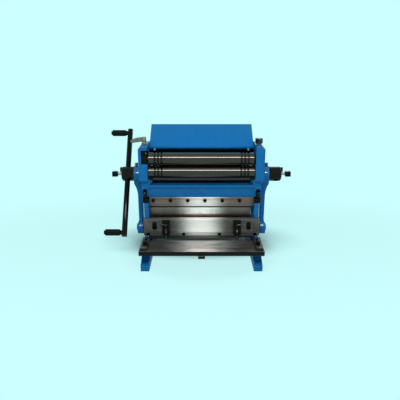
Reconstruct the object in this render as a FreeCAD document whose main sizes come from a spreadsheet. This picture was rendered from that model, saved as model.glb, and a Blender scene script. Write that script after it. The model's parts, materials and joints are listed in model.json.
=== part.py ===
import FreeCAD, Part

# A bench-top slip roll machine that also bends and shears sheet metal.
#
# Frame of reference: X to the operator's right, Y away from the operator, Z up.
# The origin is on the bench, at the centre of the four bench holes. Lengths are
# millimetres and angles are degrees.

import math
import os

import Sketcher

Vector = FreeCAD.Vector
Rotation = FreeCAD.Rotation
Placement = FreeCAD.Placement

doc = FreeCAD.newDocument("slip_roll_machine")
sheet = doc.addObject("Spreadsheet::Sheet", "dims")


# ---------------------------------------------------------------- driving dimensions

class Size:
    """A length that carries its present number and the sheet formula behind it."""

    def __init__(self, number, formula):
        self.number = float(number)
        self.formula = formula

    def __add__(self, other):
        other = as_size(other)
        return Size(self.number + other.number, "(%s + %s)" % (self.formula, other.formula))

    def __sub__(self, other):
        other = as_size(other)
        return Size(self.number - other.number, "(%s - %s)" % (self.formula, other.formula))

    def __mul__(self, other):
        other = as_size(other)
        return Size(self.number * other.number, "(%s * %s)" % (self.formula, other.formula))

    def __truediv__(self, other):
        other = as_size(other)
        return Size(self.number / other.number, "(%s / %s)" % (self.formula, other.formula))

    def __neg__(self):
        return Size(-self.number, "(-%s)" % self.formula)

    __radd__ = __add__
    __rmul__ = __mul__

    def __rsub__(self, other):
        return as_size(other) - self


def as_size(value):
    """A plain number becomes a Size whose formula is that number."""
    if isinstance(value, Size):
        return value
    return Size(value, repr(float(value)))


class Dimensions:
    """The cells of the sheet, read as d.alias."""


d = Dimensions()
next_row = [1]


def dimension(alias, number, meaning):
    """Write one driving dimension into the sheet and make it readable as d.alias."""
    row = next_row[0]
    sheet.set("A%d" % row, meaning)
    sheet.set("B%d" % row, str(number))
    sheet.setAlias("B%d" % row, alias)
    setattr(d, alias, Size(number, "dims." + alias))
    next_row[0] = row + 1


# Side frames
dimension("frame_inside", 147, "half the gap between the side frames")
dimension("frame_outside", 171, "outer face of a side frame")
dimension("foot_reach", 125, "half the length of a foot")
dimension("toe_rise", 17, "height of a toe's upright end")
dimension("toe_top", 30, "height where the toe's slope meets the leg")
dimension("toe_run", 32, "length of the toe's slope")
dimension("bench_hole_y", 108, "bench hole from the centre, along Y")
dimension("bench_hole_x", 159, "bench hole from the centre, along X")
dimension("bench_hole_radius", 5, "radius of a bench hole")
dimension("spot_face_radius", 10, "radius of the flat round a bench hole")
dimension("spot_face_z", 14, "height of the flat round a bench hole")
dimension("frame_top", 240, "top of the side frames")
dimension("pad_under", 224.5, "underside of the pad that the housings stand on")
dimension("pad_front", 33, "how far that pad reaches forward")
dimension("frame_boss_radius", 26, "boss round the cross shaft")
dimension("window_y", 55, "centre of the window for the arm pin")
dimension("window_z", 71, "height of the window's centre")
dimension("window_width", 48, "window, front to back")
dimension("window_height", 50, "window, bottom to top")
dimension("tie_rod_y", 68, "rear spacer, along Y")
dimension("tie_rod_z", 130, "rear spacer, height")
dimension("tie_rod_radius", 9, "rear spacer")
dimension("tie_thread", 6, "radius of the spacer's threaded ends")
dimension("tie_nut_height", 6, "nut of the spacer")
dimension("heel_top", 55, "step behind the table, clear of the upper blade at the end of its stroke")

# Shear table
dimension("table_half", 174.5, "half the length of the table")
dimension("table_front", 130, "front edge of the table, forward of the origin")
dimension("table_back", 47.2, "shearing edge, forward of the origin")
dimension("table_top", 61.5, "height of the table")
dimension("table_thick", 14, "thickness of the table")
dimension("blade_half", 152, "half the length of the lower blade")
dimension("lower_blade_width", 22.8, "width of the lower blade")
dimension("lower_blade_thick", 8, "thickness of the lower blade")
dimension("guide_inside", 152.5, "inner face of a side guide")
dimension("guide_outside", 172, "outer face of a side guide")
dimension("guide_height", 6, "thickness of a side guide")
dimension("guide_front", 122, "front end of a side guide, forward of the origin")
dimension("guide_back", 35, "back end of a side guide, forward of the origin")
dimension("table_bolt_x", 160, "table bolt from the centre, along X")
dimension("table_bolt_y", 92, "table bolt, forward of the origin")
dimension("table_bolt_radius", 5, "table bolt")
dimension("guide_screw_x", 161, "small guide screw from the centre, along X")
dimension("guide_screw_y", 58, "small guide screw, forward of the origin")
dimension("guide_screw_radius", 2.5, "small guide screw")
dimension("blade_screw_y", 58, "screws of the lower blade, forward of the origin")
dimension("blade_screw_pitch", 80, "distance between those screws")
dimension("small_screw", 3, "radius of an M6 screw")

# Cross shaft, hubs and hand bar
dimension("shaft_y", 55, "cross shaft axis, along Y")
dimension("shaft_z", 238, "cross shaft axis, height")
dimension("shaft_radius", 14, "cross shaft")
dimension("shaft_end_radius", 9, "stepped ends of the cross shaft")
dimension("throw", 10, "eccentric throw: half the stroke of the ram")
dimension("eccentric_radius", 20.5, "eccentric")
dimension("hub_radius", 22, "hub")
dimension("hub_bevel", 3.5, "bevel round the outer end of a hub")
dimension("nose_radius", 7.5, "round nose on the end of a hub, above the lock screw")
dimension("nose_rise", 13, "nose above the shaft axis")
dimension("nose_length", 5, "how far the nose stands out")
dimension("eccentric_start", 181, "inner face of the eccentric")
dimension("hub_start", 202, "inner face of the hub")
dimension("hub_end", 240, "outer face of the hub")
dimension("bar_x", 223, "plane of the hand bar")
dimension("shaft_end", 213, "end of the cross shaft, from the centre")
dimension("bar_radius", 8, "hand bar")
dimension("bar_up", 151, "hand bar above the shaft")
dimension("bar_down", 197, "hand bar below the shaft")
dimension("bar_lean", 37.4, "lean of the hand bar from upright")
dimension("grip_radius", 9.5, "grip")
dimension("grip_length", 46.5, "grip")
dimension("running_gap", 0.05, "radial clearance of a running fit")
dimension("bar_hole_half", 30, "half the length drilled for the cross hole")
dimension("grip_inset", 12, "grip from the end of the hand bar")
dimension("grip_stud_radius", 4, "stud inside a grip")
dimension("grip_collar_radius", 6, "collar and cap at the ends of a grip")
dimension("lock_screw_radius", 4.5, "lock screw")
dimension("lock_neck", 253, "inner face of a lock screw's head")
dimension("lock_head_length", 17, "lock screw head, along X")
dimension("lock_head_half", 7.75, "half the width of a lock screw head")

# Side arms
dimension("arm_inside", 180, "inner face of the arm's web")
dimension("arm_waist", 191.5, "outer face of the arm at its waist")
dimension("arm_boss_outside", 201, "outer face of the arm's top boss")
dimension("arm_boss_radius", 26.5, "arm's top boss")
dimension("arm_foot_outside", 196.5, "outer face of the arm's lower boss")
dimension("arm_foot_radius", 21, "arm's lower boss")
dimension("arm_shoulder_z", 176, "height where the arm begins to flare into its top boss")
dimension("arm_shoulder_radius", 80, "radius of that flare")
dimension("arm_ankle_z", 102, "height where the arm begins to flare into its lower boss")
dimension("arm_ankle_radius", 30, "radius of that flare")
dimension("arm_pin_z", 71, "height of the arm pin")
dimension("arm_pin_radius", 8, "arm pin")
dimension("arm_pin_start", 124, "inner end of the arm pin")

# Ram and what it carries
dimension("ram_half", 145.3, "half the width of the ram between the frames")
dimension("ram_end", 166, "half the width of the ram in front of the frames")
dimension("plate_half", 167.6, "half the width of the front plate")
dimension("plate_front", 50, "front of the plate, forward of the origin")
dimension("plate_back", 36, "back of the plate, forward of the origin")
dimension("plate_under", 79, "underside of the plate")
dimension("die_top", 130, "top of the plate and of the bending die")
dimension("die_seat", 112, "seat of the bending die")
dimension("die_half", 150, "half the length of the bending die")
dimension("die_back", 10.3, "back of the bending die, forward of the origin")
dimension("groove_depth", 11, "depth of the die's groove")
dimension("groove_half", 9.5, "half the width of the groove at the top")
dimension("bend_line", 23, "bending line, forward of the origin")
dimension("upper_blade_half", 151, "half the length of the upper blade")
dimension("blade_gap", 0.3, "shear clearance between the blades")
dimension("upper_blade_thick", 8, "thickness of the upper blade")
dimension("rake_low", 66.5, "upper blade's edge at the left")
dimension("rake_high", 71, "upper blade's edge at the right")
dimension("upright_top", 176, "top of the ram's uprights")
dimension("upright_inside", 152, "inner face of an upright")
dimension("upright_outside", 163, "outer face of an upright")
dimension("upright_front", 46, "front of an upright, forward of the origin")
dimension("upright_back", 31.5, "back of an upright, forward of the origin")
dimension("stud_block_inside", 150.3, "inner face of the block on an upright")
dimension("stud_block_outside", 168.2, "outer face of that block")
dimension("stud_block_top", 190.5, "top of that block")
dimension("stud_x", 163, "stud in the block, from the centre")
dimension("stud_y", 38.75, "stud, forward of the origin")
dimension("stud_radius", 4.5, "stud")
dimension("stud_length", 15.5, "stud above its block")
dimension("blade_top", 92, "top of the upper blade")
dimension("band_z", 83.5, "height of the screws in the blade band")
dimension("lug_thick", 24, "thickness of a ram lug")
dimension("socket_radius", 9, "corners of the socket in a ram lug")
dimension("plate_slot_x", 136, "slots in the front plate, from the centre")
dimension("plate_slot_half", 6.75, "half the width of a slot in the plate")
dimension("plate_slot_low", 93.6, "lower end of a slot in the plate")
dimension("plate_slot_high", 120.3, "upper end of a slot in the plate")
dimension("holddown_x", 102.5, "hold-downs from the centre")
dimension("plunger_y", 60, "hold-down plungers, forward of the origin")
dimension("plunger_radius", 3, "plunger stem")
dimension("bracket_low", 84.5, "underside of a hold-down bracket")
dimension("bracket_high", 127, "top of a hold-down bracket")
dimension("bracket_half", 11, "half the width of a hold-down bracket")
dimension("fork_half", 5, "half the gap between a bracket's cheeks")
dimension("spring_low", 92, "lower end of a hold-down spring")
dimension("spring_high", 104, "upper end of a hold-down spring")

# Fixed beam, clamp plate and fingers
dimension("beam_half", 172, "half the length of the fixed beam")
dimension("beam_front", 30, "front of the fixed beam, forward of the origin")
dimension("beam_under", 165, "underside of the fixed beam")
dimension("clamp_under", 161, "underside of the clamp plate")
dimension("clamp_top", 188, "top of the clamp plate")
dimension("clamp_front", 27, "front of the clamp plate, forward of the origin")
dimension("clamp_back", 17, "back of the clamp plate, forward of the origin")
dimension("finger_back", 12, "back of a finger, forward of the origin")
dimension("finger_tip", 130.6, "height of the finger tips")
dimension("clamp_screw_z", 179.5, "height of the clamp screws")
dimension("clamp_screw_first", -140, "leftmost clamp screw, along X")
dimension("clamp_screw_pitch", 50, "distance between clamp screws")
dimension("finger_top", 175, "top of a finger's tang")
dimension("finger_gap", 0.3, "gap between two fingers")
dimension("beam_slot_half", 7, "half the width of the slots near the beam's ends")
dimension("beam_slot_top", 213.7, "top of those slots")

# Rolls and housings
dimension("housing_inside", 152, "inner face of a roll housing")
dimension("housing_outside", 177, "outer face of a roll housing")
dimension("housing_front", 45, "front of a roll housing, forward of the origin")
dimension("housing_back", 54, "back of a roll housing")
dimension("housing_top", 340, "top of the roll housings")
dimension("housing_chamfer", 9, "chamfer along the housing's outer top edge")
dimension("roll_radius", 18.25, "radius of the rolls")
dimension("roll_y", 20, "axis of the front rolls, forward of the origin")
dimension("lower_roll_z", 262, "height of the lower roll")
dimension("roll_centres", 37.5, "distance between the front rolls")
dimension("rear_roll_y", 18, "axis of the rear roll")
dimension("rear_roll_z", 234, "height of the rear roll")
dimension("rear_roll_half", 144, "half the length of the rear roll's barrel")
dimension("rear_roll_end", 159.5, "end of the rear roll's journals")
dimension("upper_barrel_left", 150, "left end of the upper roll's barrel")
dimension("upper_barrel_right", 148.5, "right end of the upper roll's barrel")
dimension("upper_roll_left", 168, "left end of the upper roll's journal")
dimension("upper_roll_right", 162.3, "right end of the upper roll's journal")
dimension("lower_barrel_half", 151, "half the length of the lower roll's barrel")
dimension("gear_seat_radius", 8, "radius of the lower roll inside its gear")
dimension("slot_floor", 282, "floor of the right housing's blind slot")
dimension("slot_ceiling", 322, "ceiling of the right housing's blind slot")
dimension("slot_half", 18, "half the width of the blind slot, front to back")
dimension("slot_depth", 12, "depth of the blind slot, along X")
dimension("open_slot_floor", 288, "floor of the left housing's open slot")
dimension("open_slot_ceiling", 328, "ceiling of the left housing's open slot")
dimension("open_slot_wall", 8, "outer wall that the open slot leaves")
dimension("top_screw_radius", 5, "screws above the upper roll's bearings")
dimension("top_screw_point", 2.4, "radius of those screws' points")
dimension("top_collar_radius", 8, "collars of those screws")
dimension("screw_head_half", 8, "half the width of the adjusting screw's head")
dimension("screw_head_height", 15, "height of that head")
dimension("lever_post_radius", 6, "post of the clamp lever")
dimension("lever_post_height", 18, "height of that post")
dimension("lever_reach", 38, "tip of the clamp lever from its post")
dimension("lever_droop", 10, "drop of the handle towards its tip")
dimension("leaf_half", 5, "half the thickness of the handle, front to back")
dimension("screw_clearance", 0.2, "screw point above its block")
dimension("swivel_radius", 10.95, "swivel bearing")
dimension("swivel_flat", 3.5, "flats of the swivel bearing, from its axis")
dimension("lift_half", 5.4, "half the width of the lift block, along X")
dimension("housing_bolt_x", 163, "housing bolts from the centre")
dimension("housing_bolt_front", 23, "front housing bolt, forward of the origin")
dimension("housing_bolt_rear", 8, "rear housing bolt, forward of the origin")
dimension("housing_bolt_radius", 4, "housing bolts")
dimension("housing_bolt_reach", 8, "how far those bolts enter the housing")
dimension("rear_slot_front", 5, "slot for the rear roll's blocks, its front face")
dimension("rear_slot_back", 31, "slot for the rear roll's blocks, its back face")
dimension("rear_slot_depth", 14, "depth of that slot in the side frame")
dimension("rear_slot_top", 274.5, "top of that slot")
dimension("rear_slot_low", 158, "bottom of the recess for a rear screw's knob")
dimension("rear_shelf_top", 219, "bottom of that slot")
dimension("rear_shelf_under", 203, "underside of the shelf that carries the screw")
dimension("rear_screw_x", 154, "rear screws from the centre")
dimension("rear_screw_radius", 4, "rear screws")
dimension("roll_bush_radius", 12.5, "outside of the lower roll's bushes")
dimension("bush_wall", 4, "wall of the cross shaft's bushes")
dimension("lower_journal", 9, "radius of the lower roll's journals")
dimension("upper_journal", 7, "radius of the upper roll's journals")
dimension("rear_journal", 8, "radius of the rear roll's journals")
dimension("groove_first", 112.5, "first wire groove from the centre")
dimension("groove_pitch", 9.7, "distance between wire grooves")
dimension("wire_groove_depth", 2.4, "depth of a wire groove")
dimension("wire_groove_half", 2.6, "half the width of a wire groove")
dimension("top_screw_x", 161.2, "screws above the upper roll's bearings")
dimension("swivel_x", 158.5, "upright axis on which the upper roll swings out")

# Gears
dimension("gear_start", 171.5, "inner face of the gears")
dimension("gear_face", 5, "face width of the gears")
dimension("gear_wall", 170.8, "floor of the gear recess")
dimension("idler_stud_radius", 6, "stud of the idler gear")
dimension("idler_stud_start", 161.4, "inner end of that stud")

# Cover
dimension("cover_half", 151.3, "half the length of the cover")
dimension("cover_front", 19.4, "front edge of the cover")
dimension("cover_lip", 322.6, "lower edge of the cover")
dimension("cover_fold", 328.8, "fold at the cover's front")
dimension("cover_ridge_y", 96, "ridge of the cover")
dimension("cover_ridge_z", 382.6, "height of the ridge")
dimension("cover_back", 104, "back wall of the cover")
dimension("cover_back_lip", 291, "lower edge of the back wall")
dimension("cover_post_x", 138, "posts of the cover, from the centre")
dimension("cover_post_radius", 5, "posts of the cover")
dimension("sheet_thick", 1.6, "sheet metal of the cover")

doc.recompute()


# ---------------------------------------------------------------- building helpers

def bind(thing, prop, size):
    """Tie one property of a document object to its formula."""
    thing.setExpression(prop, as_size(size).formula)


def set_place(thing, x=0, y=0, z=0):
    """Tie the position of a document object to its formulas."""
    bind(thing, "Placement.Base.x", x)
    bind(thing, "Placement.Base.y", y)
    bind(thing, "Placement.Base.z", z)


ALONG_X = Rotation(Vector(0, 1, 0), 90)
ALONG_BAR = Rotation(Vector(1, 0, 0), -d.bar_lean.number)
UPWARDS = Rotation()
DOWNWARDS = Rotation(Vector(1, 0, 0), 180)
FORWARDS = Rotation(Vector(1, 0, 0), 90)
HEAD_TURNED = Rotation(Vector(0, 0, 1), 75)
HEAD_ALONG_X = ALONG_X * Rotation(Vector(0, 0, 1), 45)


def box(name, x, y, z):
    """A block given by its low and high limits along each axis."""
    block = doc.addObject("Part::Box", name)
    bind(block, "Length", as_size(x[1]) - x[0])
    bind(block, "Width", as_size(y[1]) - y[0])
    bind(block, "Height", as_size(z[1]) - z[0])
    set_place(block, x[0], y[0], z[0])
    return block


def rod(name, radius, start, length, rotation=ALONG_X):
    """A cylinder that runs from start along a turned axis."""
    bar = doc.addObject("Part::Cylinder", name)
    bar.Placement = Placement(Vector(0, 0, 0), rotation)
    bind(bar, "Radius", radius)
    bind(bar, "Height", length)
    set_place(bar, *start)
    return bar


def prism(name, sides, radius, place, length, rotation):
    """A regular prism that stands along a turned axis, given the radius of its corners."""
    bar = doc.addObject("Part::Prism", name)
    bar.Polygon = sides
    bar.Placement = Placement(Vector(0, 0, 0), rotation)
    bind(bar, "Circumradius", radius)
    bind(bar, "Height", length)
    set_place(bar, *place)
    return bar


def square_head(name, half, place, length, rotation):
    """A square screw head with eased edges."""
    blank = prism(name + "_blank", 4, half * math.sqrt(2), place, length, rotation)
    doc.recompute()
    eased = doc.addObject("Part::Chamfer", name)
    eased.Base = blank
    ease = 1.3
    eased.Edges = [(number, ease, ease) for number in range(1, len(blank.Shape.Edges) + 1)]
    return eased


def fuse(name, *pieces):
    """One solid from several that meet."""
    whole = doc.addObject("Part::MultiFuse", name)
    whole.Shapes = list(pieces)
    whole.Refine = True
    return whole


def cut(name, base, *tools):
    """A solid with several others taken out of it."""
    tool = tools[0] if len(tools) == 1 else fuse(name + "_cutters", *tools)
    left = doc.addObject("Part::Cut", name)
    left.Base = base
    left.Tool = tool
    left.Refine = True
    return left


def group(name, *pieces):
    """Several separate solids kept under one name."""
    together = doc.addObject("Part::Compound", name)
    together.Links = list(pieces)
    return together


def mirrored(name, source):
    """The left-hand copy of a right-hand piece."""
    twin = doc.addObject("Part::Mirroring", name)
    twin.Source = source
    twin.Normal = Vector(1, 0, 0)
    return twin


def sketch_in(body, name, plane, offset):
    """A sketch on one of the body's own planes, moved along the plane's normal."""
    sketch = body.newObject("Sketcher::SketchObject", name)
    support = [f for f in body.Origin.OriginFeatures if f.Role == plane][0]
    sketch.AttachmentSupport = (support, [""])
    sketch.MapMode = "FlatFace"
    bind(sketch, "AttachmentOffset.Base.z", offset)
    return sketch


def fix(sketch, kind, where, size):
    """Add one dimension to a sketch and tie it to its formula."""
    size = as_size(size)
    index = sketch.addConstraint(Sketcher.Constraint(kind, *where, size.number))
    sketch.setExpression("Constraints[%d]" % index, size.formula)


def polygon(sketch, corners):
    """A closed outline of straight lines, each corner placed from the origin."""
    corners = [(as_size(u), as_size(v)) for u, v in corners]
    first = sketch.GeometryCount
    count = len(corners)
    for i in range(count):
        u, v = corners[i]
        next_u, next_v = corners[(i + 1) % count]
        start = Vector(u.number, v.number, 0)
        end = Vector(next_u.number, next_v.number, 0)
        sketch.addGeometry(Part.LineSegment(start, end))
    for i in range(count):
        following = first + (i + 1) % count
        sketch.addConstraint(Sketcher.Constraint("Coincident", first + i, 2, following, 1))
        fix(sketch, "DistanceX", (-1, 1, first + i, 1), corners[i][0])
        fix(sketch, "DistanceY", (-1, 1, first + i, 1), corners[i][1])


def circle(sketch, u, v, radius):
    """A circle placed from the origin of the sketch."""
    u, v, radius = as_size(u), as_size(v), as_size(radius)
    centre = Vector(u.number, v.number, 0)
    index = sketch.addGeometry(Part.Circle(centre, Vector(0, 0, 1), radius.number))
    fix(sketch, "DistanceX", (-1, 1, index, 3), u)
    fix(sketch, "DistanceY", (-1, 1, index, 3), v)
    fix(sketch, "Radius", (index,), radius)


def new_body(name):
    return doc.addObject("PartDesign::Body", name)


def extrusion(kind, body, name, plane, start, length, outlines):
    """A pad or a pocket of outlines. An outline is a list of corners, or a circle (u, v, radius)."""
    sketch = sketch_in(body, name + "_sketch", plane, start)
    for outline in outlines:
        if isinstance(outline, list):
            polygon(sketch, outline)
        else:
            circle(sketch, *outline)
    feature = body.newObject(kind, name)
    feature.Profile = sketch
    bind(feature, "Length", length)
    return feature


def pad(body, name, plane, start, length, *outlines):
    """Add outlines to the body, extruded along the plane's normal."""
    extrusion("PartDesign::Pad", body, name, plane, start, length, outlines)


def pocket(body, name, plane, start, length, *outlines):
    """Cut outlines out of the body along the plane's normal."""
    feature = extrusion("PartDesign::Pocket", body, name, plane, start, length, outlines)
    feature.Reversed = True


def revolve(body, name, corners):
    """Turn an outline in the XZ plane a full turn about the X axis."""
    sketch = sketch_in(body, name + "_sketch", "XZ_Plane", 0)
    polygon(sketch, corners)
    axis = [f for f in body.Origin.OriginFeatures if f.Role == "X_Axis"][0]
    feature = body.newObject("PartDesign::Revolution", name)
    feature.Profile = sketch
    feature.ReferenceAxis = (axis, [""])
    feature.Angle = 360


def edges_where(shape, wanted):
    """Names of the edges for which wanted(start, end) is true."""
    names = []
    for number, edge in enumerate(shape.Edges, 1):
        if len(edge.Vertexes) == 2 and wanted(edge.Vertexes[0].Point, edge.Vertexes[1].Point):
            names.append("Edge%d" % number)
    return names


def round_edges(body, name, size, wanted, kind="PartDesign::Fillet"):
    """Round or chamfer those edges of the body's tip for which wanted(start, end) is true."""
    doc.recompute()
    base = body.Tip
    names = edges_where(base.Shape, wanted)
    if not names:
        raise RuntimeError("no edge found for " + name)
    feature = body.newObject(kind, name)
    feature.Base = (base, names)
    bind(feature, "Radius" if kind.endswith("Fillet") else "Size", size)


def near(a, b):
    return abs(a - b) < 0.01


def along_x_at(*places):
    """A test for edges that run along X through any of the given (y, z) places."""
    def wanted(start, end):
        straight = near(start.y, end.y) and near(start.z, end.z)
        return straight and any(near(start.y, y) and near(start.z, z) for y, z in places)
    return wanted


def both_ends(corners):
    """An outline that is the same at both ends, from the corners of its left half."""
    return corners + [(-as_size(u), v) for u, v in reversed(corners)]


def rectangle(u, v):
    """The corners of an upright rectangle from its limits."""
    return [(u[0], v[0]), (u[1], v[0]), (u[1], v[1]), (u[0], v[1])]


# ---------------------------------------------------------------- places shared by pieces

TABLE_UNDER = d.table_top - d.table_thick
UPPER_ROLL_Z = d.lower_roll_z + d.roll_centres
REAR_SLOT_ACROSS = (d.rear_slot_front, d.rear_slot_back)
HOUSING_BOLTS = (d.housing_bolt_front, d.housing_bolt_rear)
BLADE_SCREWS = [d.blade_screw_pitch * step for step in (-1.5, -0.5, 0.5, 1.5)]
BLADE_SCREW_DEPTH = 6
CLAMP_SCREWS = [d.clamp_screw_first + d.clamp_screw_pitch * step for step in range(6)]
BAND_SCREWS = (-155.5, -52, 52, 155.5)
FINGER_START = as_size(-152.5)
FINGER_WIDTHS = (40, 57, 45.5, 42.5, 55, 55)
SIDES = ((-1, "left"), (1, "right"))
GRIPS = (("upper", d.bar_up - d.grip_inset), ("lower", -d.bar_down + d.grip_inset))
SCREW_ROOM = 2.5
SWIVEL_FLOOR = 5

MODULE = 2.5
SHAFT_TEETH = 20
IDLER_TEETH = 18
ROLL_TEETH = 15
BACKLASH = 0.18
PRESSURE_ANGLE = 20


def between(side, inner, outer):
    """Limits along X of something that lies from inner to outer on one side of the machine."""
    if side > 0:
        return (as_size(inner), as_size(outer))
    return (-as_size(outer), -as_size(inner))


# ---------------------------------------------------------------- side frames

def side_frame():
    """The right-hand casting: foot, leg, ledge for the table, column, pad and shaft boss."""
    body = new_body("side_frame_right")
    thick = d.frame_outside - d.frame_inside
    shoulder = d.foot_reach - d.toe_run
    waist = (d.shaft_y + 33, 120)
    outline = [
        (-d.foot_reach, 0), (-d.foot_reach, d.toe_rise), (-shoulder, d.toe_top),
        (-shoulder - 16, TABLE_UNDER), (-d.table_back, TABLE_UNDER),
        (-d.table_back, d.heel_top), (0, d.heel_top), (0, d.pad_under),
        (-d.pad_front, d.pad_under), (-d.pad_front, d.frame_top),
        (d.shaft_y + d.frame_boss_radius, d.frame_top),
        waist, (shoulder, d.toe_top), (d.foot_reach, d.toe_rise), (d.foot_reach, 0),
    ]
    pad(body, "frame_web", "YZ_Plane", d.frame_inside, thick, outline)
    boss = (d.shaft_y, d.shaft_z, d.frame_boss_radius)
    pad(body, "frame_shaft_boss", "YZ_Plane", d.frame_inside, thick, boss)
    heel = (shoulder.number, d.toe_top.number)
    round_edges(body, "frame_heel", 9, along_x_at(heel))
    round_edges(body, "frame_column_root", 4, along_x_at((0, d.heel_top.number)))
    round_edges(body, "frame_pad_nose", 3, along_x_at((-d.pad_front.number, d.pad_under.number)))
    across = (d.window_y - d.window_width / 2, d.window_y + d.window_width / 2)
    up = (d.window_z - d.window_height / 2, d.window_z + d.window_height / 2)
    pocket(body, "frame_window", "YZ_Plane", d.frame_inside, thick, rectangle(across, up))
    corners = [(y.number, z.number) for y in across for z in up]
    round_edges(body, "frame_window_corners", 10, along_x_at(*corners))
    shaft_hole = (d.shaft_y, d.shaft_z, d.shaft_radius + d.bush_wall)
    pocket(body, "frame_shaft_bore", "YZ_Plane", d.frame_inside, thick, shaft_hole)
    tie_hole = (d.tie_rod_y, d.tie_rod_z, d.tie_rod_radius)
    pocket(body, "frame_tie_hole", "YZ_Plane", d.frame_inside, thick, tie_hole)
    block_slot = rectangle(REAR_SLOT_ACROSS, (d.rear_shelf_top, d.rear_slot_top))
    knob_slot = rectangle(REAR_SLOT_ACROSS, (d.rear_slot_low, d.rear_shelf_under))
    pocket(body, "frame_rear_slots", "YZ_Plane", d.frame_inside, d.rear_slot_depth, block_slot, knob_slot)
    screw_hole = (d.rear_screw_x, d.rear_roll_y, d.rear_screw_radius + d.running_gap)
    shelf = d.rear_shelf_top - d.rear_shelf_under
    pocket(body, "frame_rear_screw_hole", "XY_Plane", d.rear_shelf_under, shelf, screw_hole)
    holes = [(d.bench_hole_x, y, d.bench_hole_radius) for y in (-d.bench_hole_y, d.bench_hole_y)]
    flats = [(d.bench_hole_x, y, d.spot_face_radius) for y in (-d.bench_hole_y, d.bench_hole_y)]
    pocket(body, "frame_bench_holes", "XY_Plane", 0, d.toe_top, *holes)
    pocket(body, "frame_spot_faces", "XY_Plane", d.spot_face_z, d.spot_face_z, *flats)
    pad_holes = [(d.housing_bolt_x, -y, d.housing_bolt_radius) for y in HOUSING_BOLTS]
    pocket(body, "frame_pad_holes", "XY_Plane", d.pad_under, d.frame_top - d.pad_under, *pad_holes)
    table_hole = (d.table_bolt_x, -d.table_bolt_y, d.table_bolt_radius)
    pocket(body, "frame_table_hole", "XY_Plane", TABLE_UNDER - d.table_thick, d.table_thick, table_hole)
    return body


# ---------------------------------------------------------------- shear table

def table():
    """Table casting with a step for the lower blade, a rib and holes for its screws."""
    body = new_body("table")
    ease = 3
    outline = [
        (-d.table_front, TABLE_UNDER + ease), (-d.table_front + ease, TABLE_UNDER),
        (-d.table_back, TABLE_UNDER),
        (-d.table_back, d.table_top), (-d.table_front, d.table_top),
    ]
    pad(body, "table_plate", "YZ_Plane", -d.table_half, d.table_half * 2, outline)
    rib = rectangle((-d.table_front, -60), (TABLE_UNDER - 7.5, TABLE_UNDER))
    rib_half = 9.6
    pad(body, "table_rib", "YZ_Plane", -rib_half, 2 * rib_half, rib)
    step_front = -d.table_back - d.lower_blade_width
    step = rectangle((step_front, -d.table_back + 1), (d.table_top - d.lower_blade_thick, d.table_top + 1))
    pocket(body, "table_blade_step", "YZ_Plane", -d.blade_half, d.blade_half * 2, step)
    holes = [(x, -d.blade_screw_y, d.small_screw) for x in BLADE_SCREWS]
    for side in (-1, 1):
        holes.append((side * d.table_bolt_x, -d.table_bolt_y, d.table_bolt_radius))
        holes.append((side * d.guide_screw_x, -d.guide_screw_y, d.guide_screw_radius))
    pocket(body, "table_holes", "XY_Plane", TABLE_UNDER, d.table_thick, *holes)
    return body


def lower_blade():
    """Hardened strip let into the table's rear edge, with tapped holes underneath."""
    body = new_body("lower_blade")
    across = (-d.table_back - d.lower_blade_width, -d.table_back)
    under = d.table_top - d.lower_blade_thick
    section = rectangle(across, (under, d.table_top))
    pad(body, "lower_blade_bar", "YZ_Plane", -d.blade_half, d.blade_half * 2, section)
    holes = [(x, -d.blade_screw_y, d.small_screw) for x in BLADE_SCREWS]
    pocket(body, "lower_blade_holes", "XY_Plane", under, BLADE_SCREW_DEPTH, *holes)
    return body


def side_guide(side, tag):
    """Squaring bar on one end of the table, with a lead-in at its front."""
    body = new_body("side_guide_" + tag)
    front = -d.guide_front
    corners = rectangle(between(side, d.guide_inside, d.guide_outside), (front, -d.guide_back))
    pad(body, body.Name + "_bar", "XY_Plane", d.table_top, d.guide_height, corners)
    holes = [
        (side * d.table_bolt_x, -d.table_bolt_y, d.table_bolt_radius),
        (side * d.guide_screw_x, -d.guide_screw_y, d.guide_screw_radius),
    ]
    pocket(body, body.Name + "_holes", "XY_Plane", d.table_top, d.guide_height, *holes)
    front_top = along_x_at((front.number, d.table_top.number + d.guide_height.number))
    round_edges(body, body.Name + "_lead_in", 3, front_top, "PartDesign::Chamfer")
    return body


def socket_screw(name, place, head_radius, head_height, shank_radius, shank, axis):
    """A socket-head screw: place is under the head and the head stands along axis."""
    way = axis.multVec(Vector(0, 0, 1))
    head = rod(name + "_head", head_radius, place, head_height, axis)
    back = [as_size(c) - shank * w for c, w in zip(place, way)]
    stem = rod(name + "_shank", shank_radius, back, shank, axis)
    foot = [as_size(c) + head_height * 0.45 * w for c, w in zip(place, way)]
    key = prism(name + "_key", 6, as_size(head_radius) * 0.55, foot, head_height, axis)
    return cut(name, fuse(name + "_blank", head, stem), key)


def socket_screws():
    """Table and guide screws, screws under the lower blade, and the six clamp screws."""
    guide_top = d.table_top + d.guide_height
    screws = []
    for side, tag in SIDES:
        place = (side * d.table_bolt_x, -d.table_bolt_y, guide_top)
        screws.append(socket_screw("table_screw_" + tag, place, 7.5, 7, d.table_bolt_radius, 30, UPWARDS))
        place = (side * d.guide_screw_x, -d.guide_screw_y, guide_top)
        screws.append(socket_screw("guide_screw_" + tag, place, 4, 3, d.guide_screw_radius, 15, UPWARDS))
    for number, x in enumerate(BLADE_SCREWS, 1):
        place = (x, -d.blade_screw_y, TABLE_UNDER)
        screws.append(socket_screw("blade_screw_%d" % number, place, 5, 6, d.small_screw, 11.5, DOWNWARDS))
    for number, x in enumerate(CLAMP_SCREWS, 1):
        place = (x, -d.clamp_front, d.clamp_screw_z)
        screws.append(socket_screw("clamp_screw_%d" % number, place, 5, 6, d.small_screw, 24, FORWARDS))
    return group("socket_screws", *screws)


# ---------------------------------------------------------------- fixed beam and fingers

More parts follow.
